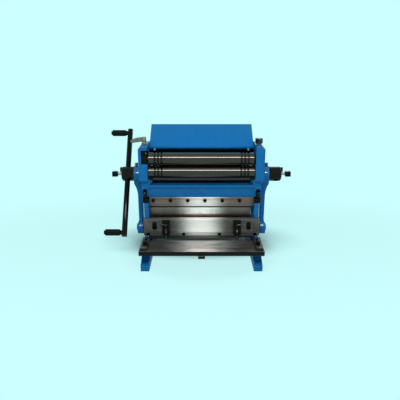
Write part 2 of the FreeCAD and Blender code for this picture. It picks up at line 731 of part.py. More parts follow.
def top_beam():
    """Cast cross beam, recessed in front for the clamp plate, with an open slot near each end."""
    body = new_body("top_beam")
    section = rectangle((-d.beam_front, 0), (d.beam_under, d.pad_under))
    pad(body, "beam_bar", "YZ_Plane", -d.beam_half, d.beam_half * 2, section)
    recess = d.blade_half + 1
    below = d.beam_under - 1
    front = -d.beam_front - 1
    panel = rectangle((front, -d.beam_front + 5), (below, d.pad_under - 6.5))
    pocket(body, "beam_panel", "YZ_Plane", -recess, recess * 2, panel)
    seat = rectangle((front, -d.finger_back), (below, d.clamp_top + 1))
    pocket(body, "beam_clamp_seat", "YZ_Plane", -recess, recess * 2, seat)
    arch = d.beam_slot_top - d.beam_slot_half
    for side, tag in SIDES:
        middle = side * d.stud_x
        slot = rectangle((middle - d.beam_slot_half, middle + d.beam_slot_half), (below, arch))
        crown = (middle, arch, d.beam_slot_half)
        pocket(body, "beam_slot_" + tag, "XZ_Plane", 0, d.beam_front, slot)
        pocket(body, "beam_slot_crown_" + tag, "XZ_Plane", 0, d.beam_front, crown)
    places = [(side * d.housing_bolt_x, -y) for side in (-1, 1) for y in HOUSING_BOLTS]
    bolts = [(x, y, d.housing_bolt_radius) for x, y in places]
    seats = [(x, y, d.beam_slot_half + 0.3) for x, y in places]
    pocket(body, "beam_bolt_holes", "XY_Plane", arch, d.pad_under - arch, *bolts)
    pocket(body, "beam_bolt_seats", "XY_Plane", arch, d.beam_slot_half, *seats)
    taps = [(x, d.clamp_screw_z, d.small_screw) for x in CLAMP_SCREWS]
    pocket(body, "beam_screw_holes", "XZ_Plane", 3, d.finger_back, *taps)
    return body


def clamp_plate():
    """Steel plate that presses the fingers against the beam."""
    body = new_body("clamp_plate")
    front = -d.clamp_front
    ease = 2
    outline = [
        (front, d.clamp_under), (-d.clamp_back, d.clamp_under), (-d.clamp_back, d.clamp_top),
        (front + ease, d.clamp_top), (front, d.clamp_top - ease),
    ]
    pad(body, "clamp_bar", "YZ_Plane", -d.blade_half, d.blade_half * 2, outline)
    holes = [(x, d.clamp_screw_z, d.small_screw) for x in CLAMP_SCREWS]
    pocket(body, "clamp_holes", "XZ_Plane", d.clamp_back, d.clamp_front - d.clamp_back, *holes)
    return body


def finger(number, low, high):
    """One brake finger: a wedge nose below the clamp plate and a tang behind it."""
    body = new_body("finger_%d" % number)
    front = -d.clamp_front
    back = -d.finger_back
    tip = -d.bend_line
    flat = 0.6
    outline = [
        (front, d.clamp_under), (front, d.finger_tip + 8.4), (tip - flat, d.finger_tip),
        (tip + flat, d.finger_tip), (back, d.finger_tip + 21.4), (back, d.finger_top),
        (-d.clamp_back, d.finger_top), (-d.clamp_back, d.clamp_under),
    ]
    start = low + d.finger_gap / 2
    pad(body, body.Name + "_blade", "YZ_Plane", start, high - low - d.finger_gap, outline)
    return body


def fingers():
    """The row of fingers, from left to right."""
    row = {}
    low = FINGER_START
    for number, wide in enumerate(FINGER_WIDTHS, 1):
        row["finger_%d" % number] = finger(number, low, low + wide)
        low = low + wide
    return row


# ---------------------------------------------------------------- roll housings

def third_corner(a, b, from_a, from_b):
    """The point at two given distances from a and b, above the line from b to a."""
    span = math.hypot(a[0] - b[0], a[1] - b[1])
    along = (from_b ** 2 - from_a ** 2 + span ** 2) / (2 * span)
    aside = math.sqrt(from_b ** 2 - along ** 2)
    unit = ((a[0] - b[0]) / span, (a[1] - b[1]) / span)
    return (b[0] + along * unit[0] - aside * unit[1], b[1] + along * unit[1] + aside * unit[0])


SHAFT_CENTRE = (d.shaft_y.number, d.shaft_z.number)
LOWER_CENTRE = (-d.roll_y.number, d.lower_roll_z.number)
UPPER_CENTRE = (-d.roll_y.number, UPPER_ROLL_Z.number)
IDLER_CENTRE = third_corner(SHAFT_CENTRE, LOWER_CENTRE,
                            MODULE * (SHAFT_TEETH + IDLER_TEETH) / 2,
                            MODULE * (IDLER_TEETH + ROLL_TEETH) / 2)


def open_slot(body):
    """Slot of the left housing, open in front and inside, from which the upper roll slips out."""
    start = -d.housing_outside + d.open_slot_wall
    across = (-d.housing_front - 1, -d.roll_y + d.slot_half)
    slot = rectangle(across, (d.open_slot_floor, d.open_slot_ceiling))
    pocket(body, "left_open_slot", "YZ_Plane", start, -d.housing_inside - start, slot)


def gear_side(body):
    """Blind slot inside the right housing, and the recess outside it that guards the gears."""
    across = (-d.roll_y - d.slot_half, -d.roll_y + d.slot_half)
    slot = rectangle(across, (d.slot_floor, d.slot_ceiling))
    pocket(body, "right_blind_slot", "YZ_Plane", d.housing_inside, d.slot_depth, slot)
    recess = rectangle((-d.housing_front + 3, d.housing_back + 1), (d.frame_top - 1, d.slot_ceiling + 0.5))
    pocket(body, "right_gear_recess", "YZ_Plane", d.gear_wall, d.housing_outside - d.gear_wall, recess)
    hub_hole = (-d.roll_y, UPPER_ROLL_Z, d.lower_journal + d.running_gap)
    slot_end = d.housing_inside + d.slot_depth
    pocket(body, "right_gear_hub_hole", "YZ_Plane", slot_end, d.gear_wall - slot_end, hub_hole)
    stud_hole = (*IDLER_CENTRE, d.idler_stud_radius)
    stud_deep = d.gear_wall - d.idler_stud_start
    pocket(body, "right_stud_hole", "YZ_Plane", d.idler_stud_start, stud_deep, stud_hole)


def roll_housing(side, tag):
    """Casting on top of a side frame that carries the front rolls."""
    name = "roll_housing_" + tag
    body = new_body(name)
    start, end = between(side, d.housing_inside, d.housing_outside)
    wide = end - start
    outline = rectangle((-d.housing_front, d.housing_back), (d.frame_top, d.housing_top))
    pad(body, name + "_block", "YZ_Plane", start, wide, outline)
    outer = side * d.housing_outside.number
    top = d.housing_top.number

    def outer_top(first, last):
        return all(near(p.x, outer) and near(p.z, top) for p in (first, last))
    round_edges(body, name + "_chamfer", d.housing_chamfer, outer_top, "PartDesign::Chamfer")
    back_top = along_x_at((d.housing_back.number, top))
    round_edges(body, name + "_back_round", 14, back_top)
    boss_room = (d.shaft_y, d.shaft_z, d.frame_boss_radius + 2)
    pocket(body, name + "_boss_room", "YZ_Plane", start, wide, boss_room)
    bush_hole = (-d.roll_y, d.lower_roll_z, d.roll_bush_radius)
    pocket(body, name + "_bush_hole", "YZ_Plane", start, wide, bush_hole)
    if side < 0:
        open_slot(body)
        ceiling = d.open_slot_ceiling
    else:
        gear_side(body)
        ceiling = d.slot_ceiling
    low, high = between(side, d.housing_inside, d.frame_inside + d.rear_slot_depth)
    rear_slot = rectangle(REAR_SLOT_ACROSS, (d.frame_top - 1, d.rear_slot_top))
    pocket(body, name + "_rear_slot", "YZ_Plane", low, high - low, rear_slot)
    screw_hole = (side * d.top_screw_x, -d.roll_y, d.top_screw_radius + d.running_gap)
    pocket(body, name + "_screw_hole", "XY_Plane", ceiling, d.housing_top - ceiling, screw_hole)
    bolts = [(side * d.housing_bolt_x, -y, d.housing_bolt_radius) for y in HOUSING_BOLTS]
    pocket(body, name + "_bolt_holes", "XY_Plane", d.frame_top, d.housing_bolt_reach + 0.5, *bolts)
    return body


def sleeve(name, start, length, y, z, outer, inner):
    """A plain bush along X."""
    tube = rod(name + "_sleeve", outer, (start, y, z), length)
    bore = rod(name + "_bore", inner + d.running_gap, (start, y, z), length)
    return cut(name, tube, bore)


def bearing_bushes():
    """Bronze bushes of the cross shaft and of the lower roll."""
    bushes = []
    for side, tag in SIDES:
        start, end = between(side, d.frame_inside, d.frame_outside)
        bushes.append(sleeve("shaft_bush_" + tag, start, end - start, d.shaft_y, d.shaft_z,
                             d.shaft_radius + d.bush_wall, d.shaft_radius))
    for tag, start, end in (("left", -d.housing_outside, -d.housing_inside),
                            ("right", d.housing_inside, d.gear_wall)):
        bushes.append(sleeve("roll_bush_" + tag, start, end - start, -d.roll_y, d.lower_roll_z,
                             d.roll_bush_radius, d.lower_journal))
    return group("bearing_bushes", *bushes)


def frame_bolts():
    """Bolts that hold the housings down, and the nuts of the rear spacer."""
    pieces = []
    head_height = 5.5
    hex_radius = 12 / math.sqrt(3)
    nut_radius = 24 / math.sqrt(3)
    for side, tag in SIDES:
        x = side * d.housing_bolt_x
        for number, y in enumerate(HOUSING_BOLTS, 1):
            name = "housing_bolt_%s_%d" % (tag, number)
            under = (x, -y, d.beam_slot_top - head_height)
            head = prism(name + "_head", 6, hex_radius, under, head_height, UPWARDS)
            reach = d.frame_top + d.housing_bolt_reach - d.beam_slot_top
            shank = rod(name + "_shank", d.housing_bolt_radius, (x, -y, d.beam_slot_top), reach, UPWARDS)
            pieces.append(fuse(name, head, shank))
        start, end = between(side, d.frame_outside, d.frame_outside + d.tie_nut_height)
        place = (start, d.tie_rod_y, d.tie_rod_z)
        nut = prism("tie_nut_%s_blank" % tag, 6, nut_radius, place, end - start, ALONG_X)
        hole = rod("tie_nut_%s_hole" % tag, d.tie_thread, place, end - start)
        pieces.append(cut("tie_nut_" + tag, nut, hole))
    return group("frame_bolts", *pieces)


def tie_rod():
    """Rear spacer between the side frames with stepped ends."""
    body = new_body("tie_rod")
    end = d.frame_outside + d.tie_nut_height + 1
    corners = [
        (-end, 0), (-end, d.tie_thread), (-d.frame_outside, d.tie_thread),
        (-d.frame_outside, d.tie_rod_radius),
    ]
    revolve(body, "tie_rod_turning", both_ends(corners))
    set_place(body, 0, d.tie_rod_y, d.tie_rod_z)
    return body


# ---------------------------------------------------------------- cross shaft, hubs and hand bar

def drive_shaft():
    """Cross shaft, stepped down at both ends for the hubs."""
    body = new_body("drive_shaft")
    step = d.arm_inside - 0.5
    corners = [
        (-d.shaft_end, 0), (-d.shaft_end, d.shaft_end_radius), (-step, d.shaft_end_radius),
        (-step, d.shaft_radius),
    ]
    revolve(body, "shaft_turning", both_ends(corners))
    set_place(body, 0, d.shaft_y, d.shaft_z)
    return body


def hub():
    """Right-hand hub with the eccentric turned on it, a round nose and a cross hole for the hand bar."""
    body = new_body("hub_right")
    radius = d.hub_radius
    bevel = d.hub_bevel
    corners = [
        (d.hub_start, 0), (d.hub_start, radius - 1), (d.hub_start + 1, radius),
        (d.hub_end - bevel, radius), (d.hub_end, radius - bevel), (d.hub_end, 0),
    ]
    revolve(body, "hub_turning", corners)
    eccentric = (-d.throw, 0, d.eccentric_radius)
    pad(body, "hub_eccentric", "YZ_Plane", d.eccentric_start, d.hub_start - d.eccentric_start + 1, eccentric)
    pad(body, "hub_nose", "YZ_Plane", d.hub_end - 1, d.nose_length + 1, (0, d.nose_rise, d.nose_radius))
    bore = (0, 0, d.shaft_end_radius)
    pocket(body, "hub_bore", "YZ_Plane", d.eccentric_start, d.shaft_end - d.eccentric_start, bore)
    screw_hole = (0, 0, d.lock_screw_radius)
    pocket(body, "hub_screw_hole", "YZ_Plane", d.bar_x, d.hub_end + d.nose_length - d.bar_x, screw_hole)
    set_place(body, 0, d.shaft_y, d.shaft_z)
    y, z = bar_offset(-d.bar_hole_half)
    wide = d.bar_radius + d.running_gap
    hole = rod("hub_cross_hole", wide, (d.bar_x, y, z), 2 * d.bar_hole_half, ALONG_BAR)
    return cut("hub_right", body, hole)


def bar_offset(distance):
    """The (y, z) of a point on the hand bar's axis, from the shaft axis along the bar."""
    distance = as_size(distance)
    lean = math.radians(d.bar_lean.number)
    run = Size(distance.number * math.sin(lean), "(%s * sin(dims.bar_lean))" % distance.formula)
    rise = Size(distance.number * math.cos(lean), "(%s * cos(dims.bar_lean))" % distance.formula)
    return d.shaft_y + run, d.shaft_z + rise


def crank_bar():
    """Leaning hand bar with a stud for a grip at each end."""
    y, z = bar_offset(-d.bar_down)
    bar = rod("crank_bar_rod", d.bar_radius, (-d.bar_x, y, z), d.bar_down + d.bar_up, ALONG_BAR)
    stud_length = d.grip_length + d.bar_radius + 1
    tip = -d.bar_x - stud_length
    shoulder = -d.bar_x - d.bar_radius - 0.4
    cap = 3
    pieces = []
    for tag, reach in GRIPS:
        y, z = bar_offset(reach)
        pieces.append(rod("grip_stud_" + tag, d.grip_stud_radius, (tip, y, z), stud_length))
        pieces.append(rod("grip_collar_" + tag, d.grip_collar_radius, (shoulder, y, z), d.bar_radius))
        pieces.append(rod("grip_cap_" + tag, d.grip_collar_radius, (tip - cap, y, z), cap))
    return fuse("crank_bar", bar, *pieces)


def grip(tag, reach):
    """Turned grip that spins on its stud: a short neck, a plain barrel and an eased end."""
    body = new_body("grip_" + tag)
    radius = d.grip_radius
    inner = d.grip_stud_radius + d.running_gap
    long = d.grip_length
    corners = [
        (0, inner), (0, radius - 3), (-2.5, radius - 2.6), (-5.5, radius - 0.5), (-9, radius),
        (-long + 2.5, radius), (-long + 0.8, radius - 0.7), (-long, radius - 2.2), (-long, inner),
    ]
    revolve(body, "grip_%s_turning" % tag, corners)
    y, z = bar_offset(reach)
    set_place(body, -d.bar_x - d.bar_radius - 0.7, y, z)
    return body


def lock_screw(side, tag):
    """Square-headed screw in the end of a hub that grips the hand bar."""
    start, end = between(side, d.bar_x + d.bar_radius + 0.3, d.lock_neck)
    radius = d.lock_screw_radius - d.running_gap
    stem = rod("lock_%s_stem" % tag, radius, (start, d.shaft_y, d.shaft_z), end - start)
    low, high = between(side, d.lock_neck, d.lock_neck + d.lock_head_length)
    place = (low, d.shaft_y, d.shaft_z)
    head = square_head("lock_%s_head" % tag, d.lock_head_half, place, high - low, HEAD_ALONG_X)
    return fuse("lock_screw_" + tag, stem, head)


# ---------------------------------------------------------------- side arms

def arm():
    """Right-hand side arm from the eccentric down to the ram's pin. Its outer face is hollowed
    between the two bosses."""
    body = new_body("arm_right")
    y = d.shaft_y - d.throw
    top = d.shaft_z
    low = d.arm_pin_z
    long = d.arm_boss_outside - d.arm_inside
    web = [
        (y - 11, low), (y + 11, low), (y + 17, top - 40), (y + 25, top), (y - 25, top), (y - 17, top - 40),
    ]
    pad(body, "arm_web", "YZ_Plane", d.arm_inside, long, web)
    pad(body, "arm_top_boss", "YZ_Plane", d.arm_inside, long, (y, top, d.arm_boss_radius))
    pad(body, "arm_low_boss", "YZ_Plane", d.arm_inside, long, (y, low, d.arm_foot_radius))
    beyond = d.arm_boss_outside + 1
    below = low - d.arm_foot_radius - 1
    hollow = [(beyond, below), (d.arm_foot_outside, below)]
    hollow.extend(flare(d.arm_foot_outside, d.arm_ankle_z, -d.arm_ankle_radius)[::-1])
    hollow.extend(flare(d.arm_boss_outside, d.arm_shoulder_z, d.arm_shoulder_radius))
    hollow.append((beyond, hollow[-1][1] + 1))
    pocket(body, "arm_hollow", "XZ_Plane", -y - d.arm_boss_radius - 1, d.arm_boss_radius * 2 + 2, hollow)
    bore = (y, top, d.eccentric_radius + d.running_gap)
    pocket(body, "arm_top_bore", "YZ_Plane", d.arm_inside, long, bore)
    pocket(body, "arm_pin_bore", "YZ_Plane", d.arm_inside, long, (y, low, d.arm_pin_radius))
    return body


def flare(outer, start_z, radius):
    """Points of an arc in the XZ plane that leaves the arm's waist at start_z and ends at X = outer."""
    way = 1 if radius.number > 0 else -1
    sweep = math.acos(1 - (outer.number - d.arm_waist.number) / abs(radius.number))
    steps = 6
    points = []
    for step in range(steps + 1):
        angle = sweep * step / steps
        away = radius * (way * (1 - math.cos(angle)))
        points.append((d.arm_waist + away, start_z + radius * math.sin(angle)))
    return points


def arm_pin():
    """Pin with a low round head, from the arm's lower boss into the ram's end socket."""
    body = new_body("arm_pin_right")
    radius = d.arm_pin_radius
    face = d.arm_foot_outside
    inner = d.arm_pin_start
    corners = [
        (inner, 0), (inner, radius), (face, radius), (face, radius + 3), (face + 2.4, radius + 3),
        (face + 3.8, radius + 0.5), (face + 4.3, radius - 4), (face + 4.3, 0),
    ]
    revolve(body, "arm_pin_turning", corners)
    set_place(body, 0, d.shaft_y - d.throw, d.arm_pin_z)
    return body


# ---------------------------------------------------------------- ram

def ram():
    """Moving beam casting: a bar in front of the frames, a back between them, two end lugs with
    sockets for the arm pins, and an upright at each end."""
    body = new_body("ram")
    back = -d.plate_back
    blade_back = -d.table_back + d.blade_gap + d.upper_blade_thick
    column = -0.5
    front_bar = [
        (blade_back, d.plate_under), (blade_back, d.blade_top), (back, d.blade_top),
        (back, d.die_seat), (column, d.die_seat), (column, d.plate_under),
    ]
    pad(body, "ram_bar", "YZ_Plane", -d.ram_end, d.ram_end * 2, front_bar)
    back_bar = [
        (-d.die_back, d.plate_under), (-d.die_back, d.die_top - 2), (2, d.die_top - 2),
        (20, d.die_seat), (20, d.plate_under + 14), (8, d.plate_under),
    ]
    pad(body, "ram_back", "YZ_Plane", -d.ram_half, d.ram_half * 2, back_bar)
    lug_low = d.window_z - 29
    lug_high = d.window_z + 28
    lug = [
        (column, d.plate_under - 4), (30, lug_low), (83, lug_low), (83, lug_high - 10),
        (73, lug_high), (column, lug_high),
    ]
    for side, tag in SIDES:
        start = between(side, d.ram_half - d.lug_thick, d.ram_half)[0]
        pad(body, "ram_lug_" + tag, "YZ_Plane", start, d.lug_thick, lug)
    half = 20
    across = (d.window_y - half, d.window_y + half)
    up = (d.window_z - half, d.window_z + half)
    pocket(body, "ram_sockets", "YZ_Plane", -d.ram_half, d.ram_half * 2, rectangle(across, up))
    corners = [(y.number, z.number) for y in across for z in up]
    round_edges(body, "ram_socket_corners", d.socket_radius, along_x_at(*corners))
    shoulder = [
        (back, d.die_seat), (back, d.die_top), (-29, d.die_top), (-29, 118), (column, 118),
        (column, d.die_seat),
    ]
    upright = rectangle((-d.upright_front, -d.upright_back), (d.die_top, d.upright_top))
    for side, tag in SIDES:
        low, high = between(side, d.die_half + 1, d.ram_end)
        pad(body, "ram_shoulder_" + tag, "YZ_Plane", low, high - low, shoulder)
        low, high = between(side, d.upright_inside, d.upright_outside)
        pad(body, "ram_upright_" + tag, "YZ_Plane", low, high - low, upright)
    return body


def ram_plate():
    """Steel front plate with a lip over the upper blade and an adjusting slot at each end."""
    body = new_body("ram_plate")
    front = -d.plate_front
    lip = -d.table_back + d.blade_gap
    outline = [
        (front, d.plate_under), (front, 88.6), (front + 0.8, 89.3), (front, 90), (front, d.die_top),
        (-d.plate_back, d.die_top), (-d.plate_back, d.blade_top), (lip, d.blade_top),
        (lip, d.plate_under),
    ]
    pad(body, "plate_bar", "YZ_Plane", -d.plate_half, d.plate_half * 2, outline)
    half = d.plate_slot_half
    low = d.plate_slot_low + half
    high = d.plate_slot_high - half
    thick = d.plate_front - d.plate_back
    for side, tag in SIDES:
        x = side * d.plate_slot_x
        slot = rectangle((x - half, x + half), (low, high))
        pocket(body, "plate_slot_" + tag, "XZ_Plane", d.plate_back, thick, slot)
        for z, end in ((low, "low"), (high, "high")):
            pocket(body, "plate_slot_%s_%s" % (end, tag), "XZ_Plane", d.plate_back, thick, (x, z, half))
    holes = [(x, d.band_z, d.small_screw) for x in BAND_SCREWS]
    pocket(body, "plate_band_holes", "XZ_Plane", -lip, d.plate_front + lip, *holes)
    return body


def upper_blade():
    """Shear blade whose lower edge is raked from left to right."""
    body = new_body("upper_blade")
    outline = [
        (-d.upper_blade_half, d.rake_low), (d.upper_blade_half, d.rake_high),
        (d.upper_blade_half, d.blade_top), (-d.upper_blade_half, d.blade_top),
    ]
    back = d.table_back - d.blade_gap - d.upper_blade_thick
    pad(body, "upper_blade_bar", "XZ_Plane", back, d.upper_blade_thick, outline)
    holes = [(x, d.band_z, d.small_screw) for x in BAND_SCREWS[1:3]]
    pocket(body, "upper_blade_holes", "XZ_Plane", back, d.upper_blade_thick, *holes)
    return body


def v_die():
    """Bending die with one straight groove."""
    body = new_body("v_die")
    middle = -d.bend_line
    outline = [
        (-d.plate_back, d.die_seat), (-d.plate_back, d.die_top), (middle - d.groove_half, d.die_top),
        (middle, d.die_top - d.groove_depth), (middle + d.groove_half, d.die_top),
        (-d.die_back, d.die_top), (-d.die_back, d.die_seat),
    ]
    pad(body, "v_die_bar", "YZ_Plane", -d.die_half, d.die_half * 2, outline)
    return body


def ram_screws():
    """Screws of the blade band, and the screw and washer in each plate slot."""
    screws = []
    for number, x in enumerate(BAND_SCREWS, 1):
        place = (x, -d.plate_front, d.band_z)
        screws.append(socket_screw("band_screw_%d" % number, place, 4.5, 3, d.small_screw, 10, FORWARDS))
    for side, tag in SIDES:
        place = (side * d.plate_slot_x, -d.plate_back - 5, 111.5)
        screws.append(socket_screw("slot_screw_" + tag, place, 5.6, 8, 3.5, 5, FORWARDS))
    return group("ram_screws", *screws)


def stud_blocks():
    """Steel block and stud on each upright of the ram."""
    blocks = []
    for side, tag in SIDES:
        limits = between(side, d.stud_block_inside, d.stud_block_outside)
        block = box("stud_block_%s_base" % tag, limits, (-d.upright_front, -d.upright_back),
                    (d.upright_top, d.stud_block_top))
        place = (side * d.stud_x, -d.stud_y, d.stud_block_top)
        stud = rod("stud_block_%s_stud" % tag, d.stud_radius, place, d.stud_length, UPWARDS)
        blocks.append(fuse("stud_block_" + tag, block, stud))
    return group("stud_blocks", *blocks)


def holddown_brackets():
    """Forked bracket on the front plate, one each side, that guides the hold-down plunger."""
    brackets = []
    back = -d.plate_front
    for side, tag in SIDES:
        body = new_body("holddown_" + tag)
        name = body.Name
        middle = side * d.holddown_x
        cheek = [
            (back, d.bracket_low), (back, d.bracket_high), (back - 3, d.bracket_high), (back - 7, 112),
            (back - 16, 106), (back - 16, d.bracket_low + 6), (back - 12, d.bracket_low),
        ]
        pad(body, name + "_body", "YZ_Plane", middle - d.bracket_half, d.bracket_half * 2, cheek)
        front_gap = rectangle((back - 17, back - 4), (d.bracket_low + 4, d.spring_high))
        head_gap = rectangle((back - 17, back - 4), (d.spring_high + 5, d.bracket_high + 1))
        pocket(body, name + "_gap", "YZ_Plane", middle - d.fork_half, d.fork_half * 2, front_gap, head_gap)
        guide = (middle, -d.plunger_y, d.plunger_radius + d.running_gap)
        pocket(body, name + "_guide", "XY_Plane", d.bracket_low, d.bracket_high - d.bracket_low, guide)
        brackets.append(body)
    return group("holddown_brackets", *brackets)


def plunger(side, tag):
    """Hold-down plunger with a pad, a collar under the spring, a head and a small lifting arm."""
    x = side * d.holddown_x
    pieces = []
    for part, radius, low, height in (("stem", d.plunger_radius, 74, 42), ("foot", 5, 72.4, 3),
                                      ("collar", 4.6, d.bracket_low + 4.3, 2.9), ("head", 4.4, 113, 5)):
        pieces.append(rod("plunger_%s_%s" % (tag, part), radius, (x, -d.plunger_y, low), height, UPWARDS))
    lifter = new_body("plunger_%s_lifter" % tag)
    corners = [(0, 0), (0, 1.6), (10.5, 1.6), (11.2, 2.6), (12.6, 3.1), (14.2, 2.9), (15.6, 1.7), (16, 0)]
    revolve(lifter, lifter.Name + "_turning", [(side * u, v) for u, v in corners])
    set_place(lifter, x, -d.plunger_y - 2, 115.5)
    return fuse("plunger_" + tag, lifter, *pieces)


def spring(side, tag):
    """Coil spring between the plunger's collar and the bracket, as a faceted six-sided wire."""
    coil_radius = 3.9
    wire_radius = 0.6
    turns = 4
    steps = 10
    clear = wire_radius + 0.05
    rise = d.spring_high.number - d.spring_low.number - 2 * clear
    middle = Vector(side * d.holddown_x.number, -d.plunger_y.number, d.spring_low.number + clear)
    rings = []
    for number in range(turns * steps + 1):
        angle = 2 * math.pi * number / steps
        height = rise * number / (turns * steps)
        outward = Vector(math.cos(angle), math.sin(angle), 0)
        ring = []
        for corner in range(6):
            turn = math.pi * corner / 3
            away = coil_radius + wire_radius * math.cos(turn)
            up = Vector(0, 0, height + wire_radius * math.sin(turn))
            ring.append(middle + outward * away + up)
        rings.append(ring)
    faces = []
    for here, following in zip(rings, rings[1:]):
        for corner in range(6):
            after = (corner + 1) % 6
            for points in ((here[corner], here[after], following[after]),
                           (here[corner], following[after], following[corner])):
                faces.append(Part.Face(Part.makePolygon([*points, points[0]])))
    for ring in (rings[0], rings[-1]):
        faces.append(Part.Face(Part.makePolygon([*ring, ring[0]])))
    feature = doc.addObject("Part::Feature", "spring_" + tag)
    feature.Shape = Part.Solid(Part.Shell(faces))
    if feature.Shape.Volume < 0:
        feature.Shape = feature.Shape.reversed()
    return feature


# ---------------------------------------------------------------- rolls and their bearings

def grooved_roll(name, barrel, left_steps, right_steps, height):
    """Front roll: a barrel with three wire grooves near each end, and stepped journals.
    Each list of steps holds (end along X, radius), from the outside towards the barrel."""
    body = new_body(name)
    radius = d.roll_radius
    ease = 0.8
    outline = [(left_steps[0][0], 0)]
    for number, (x, step) in enumerate(left_steps):
        outline.append((x, step))
        inner_end = left_steps[number + 1][0] if number + 1 < len(left_steps) else barrel[0]
        outline.append((inner_end, step))
    outline.extend([(barrel[0], radius - ease), (barrel[0] + ease, radius)])
    places = [d.groove_first + d.groove_pitch * step for step in range(3)]
    half = d.wire_groove_half
    bottom = radius - d.wire_groove_depth
    for x in [-place for place in reversed(places)] + places:
        outline.extend([(x - half, radius), (x - half + 1, bottom)])
        outline.extend([(x + half - 1, bottom), (x + half, radius)])
    outline.extend([(barrel[1] - ease, radius), (barrel[1], radius - ease)])
    for number in range(len(right_steps) - 1, -1, -1):
        x, step = right_steps[number]
        start = right_steps[number + 1][0] if number + 1 < len(right_steps) else barrel[1]
        outline.append((start, step))
        outline.append((x, step))
    outline.append((right_steps[0][0], 0))
    revolve(body, name + "_turning", outline)
    set_place(body, 0, -d.roll_y, height)
    return body


def upper_roll():
    """Roll that slips out, with a plain journal at each end."""
    return grooved_roll("upper_roll", (-d.upper_barrel_left, d.upper_barrel_right),
                        [(-d.upper_roll_left, d.upper_journal)],
                        [(d.upper_roll_right, d.upper_journal)], UPPER_ROLL_Z)


def lower_roll():
    """Driven roll, with a smaller end for its gear."""
    half = d.lower_barrel_half
    return grooved_roll("lower_roll", (-half, half), [(-d.housing_outside + 1, d.lower_journal)],
                        [(d.housing_outside, d.gear_seat_radius), (d.gear_wall + 0.4, d.lower_journal)],
                        d.lower_roll_z)


def rear_roll():
    """Plain roll behind the front pair."""
    body = new_body("rear_roll")
    half = d.rear_roll_half
    radius = d.roll_radius
    ease = 0.8
    end = d.rear_roll_end
    corners = [
        (-end, 0), (-end, d.rear_journal), (-half, d.rear_journal), (-half, radius - ease),
        (-half + ease, radius),
    ]
    revolve(body, "rear_roll_turning", both_ends(corners))
    set_place(body, 0, d.rear_roll_y, d.rear_roll_z)
    return body


def rear_roll_blocks():
    """Bearing blocks of the rear roll, in the slots of the side frames."""
    blocks = []
    half = (d.rear_slot_back - d.rear_slot_front) / 2 - 0.4
    for side, tag in SIDES:
        limits = between(side, d.frame_inside + 0.6, d.frame_inside + d.rear_slot_depth - 0.4)
        block = box("rear_block_%s_blank" % tag, limits, (d.rear_roll_y - half, d.rear_roll_y + half),
                    (d.rear_roll_z - 12, d.rear_roll_z + 12))
        bore = rod("rear_block_%s_bore" % tag, d.rear_journal + d.running_gap,
                   (limits[0], d.rear_roll_y, d.rear_roll_z), limits[1] - limits[0])
        blocks.append(cut("rear_block_" + tag, block, bore))
    return group("rear_roll_blocks", *blocks)


def rear_screw(side, tag):
    """Adjusting screw that lifts one end of the rear roll, with a round knob below."""
    x = side * d.rear_screw_x
    knob_low = 164
    knob_height = 12.5
    tip = d.rear_roll_z - 12
    stem_low = knob_low + knob_height - 0.5
    name = "rear_screw_%s" % tag
    foot = (x, d.rear_roll_y, stem_low)
    stem = rod(name + "_stem", d.rear_screw_radius, foot, tip - stem_low, UPWARDS)
    knob = rod(name + "_knob", 6, (x, d.rear_roll_y, knob_low), knob_height, UPWARDS)
    return fuse(name, stem, knob)


def roll_block_left():
    """Left bearing block of the upper roll. It leaves the housing's open slot with the roll."""
    body = new_body("roll_block_left")
    middle = -d.roll_y
    half = d.slot_half - 1
    outer = -d.upper_roll_left
    long = d.upper_roll_left - d.housing_inside - 1
    up = (d.open_slot_floor + 1.5, d.open_slot_ceiling - SCREW_ROOM)
    outline = rectangle((middle - half, middle + half), up)
    pad(body, "left_block_blank", "YZ_Plane", outer, long, outline)
    bore = (middle, UPPER_ROLL_Z, d.upper_journal + d.running_gap)
    pocket(body, "left_block_bore", "YZ_Plane", outer, long, bore)
    return body


def lift_block():
    """Right-hand block that slides up and down in the housing and holds the swivel bearing."""
    body = new_body("lift_block")
    middle = -d.roll_y
    half = d.slot_half - 0.5
    outline = rectangle((middle - half, middle + half), (d.slot_floor + 1.5, d.slot_ceiling - SCREW_ROOM))
    pad(body, "lift_block_blank", "YZ_Plane", d.swivel_x - d.lift_half, d.lift_half * 2, outline)
    well = (d.swivel_x, middle, d.swivel_radius + d.running_gap)
    floor = d.slot_floor + SWIVEL_FLOOR
    pocket(body, "lift_block_well", "XY_Plane", floor, d.slot_ceiling - floor, well)
    return body


def swivel_bearing():
    """Upright round bearing, flattened on two sides, on which the upper roll swings out."""
    body = new_body("swivel_bearing")
    middle = -d.roll_y
    floor = d.slot_floor + SWIVEL_FLOOR + d.running_gap
    top = d.slot_ceiling - SCREW_ROOM - 0.7
    pad(body, "swivel_round", "XY_Plane", floor, top - floor, (d.swivel_x, middle, d.swivel_radius))
    away = rectangle((middle - d.swivel_radius, middle + d.swivel_radius), (d.slot_floor, d.slot_ceiling))
    for side, tag in SIDES:
        low, high = between(side, d.swivel_flat, d.swivel_radius)
        pocket(body, "swivel_flat_" + tag, "YZ_Plane", d.swivel_x + low, high - low, away)
    bore = (middle, UPPER_ROLL_Z, d.upper_journal + d.running_gap)
    pocket(body, "swivel_bore", "YZ_Plane", d.swivel_x - d.swivel_flat, d.swivel_flat * 2, bore)
    return body


def top_screw(name, side, ceiling):
    """Threaded post above an upper roll bearing, from its point to a collar over the housing."""
    x = side * d.top_screw_x
    point_top = ceiling + 1.5
    tip = ceiling - SCREW_ROOM + d.screw_clearance
    over = d.housing_top + 1
    shank = rod(name + "_shank", d.top_screw_radius, (x, -d.roll_y, point_top), over - point_top, UPWARDS)
    point = rod(name + "_point", d.top_screw_point, (x, -d.roll_y, tip), point_top - tip, UPWARDS)
    collar = rod(name + "_collar", d.top_collar_radius, (x, -d.roll_y, d.housing_top + 0.8), 3.4, UPWARDS)
    return [shank, point, collar]


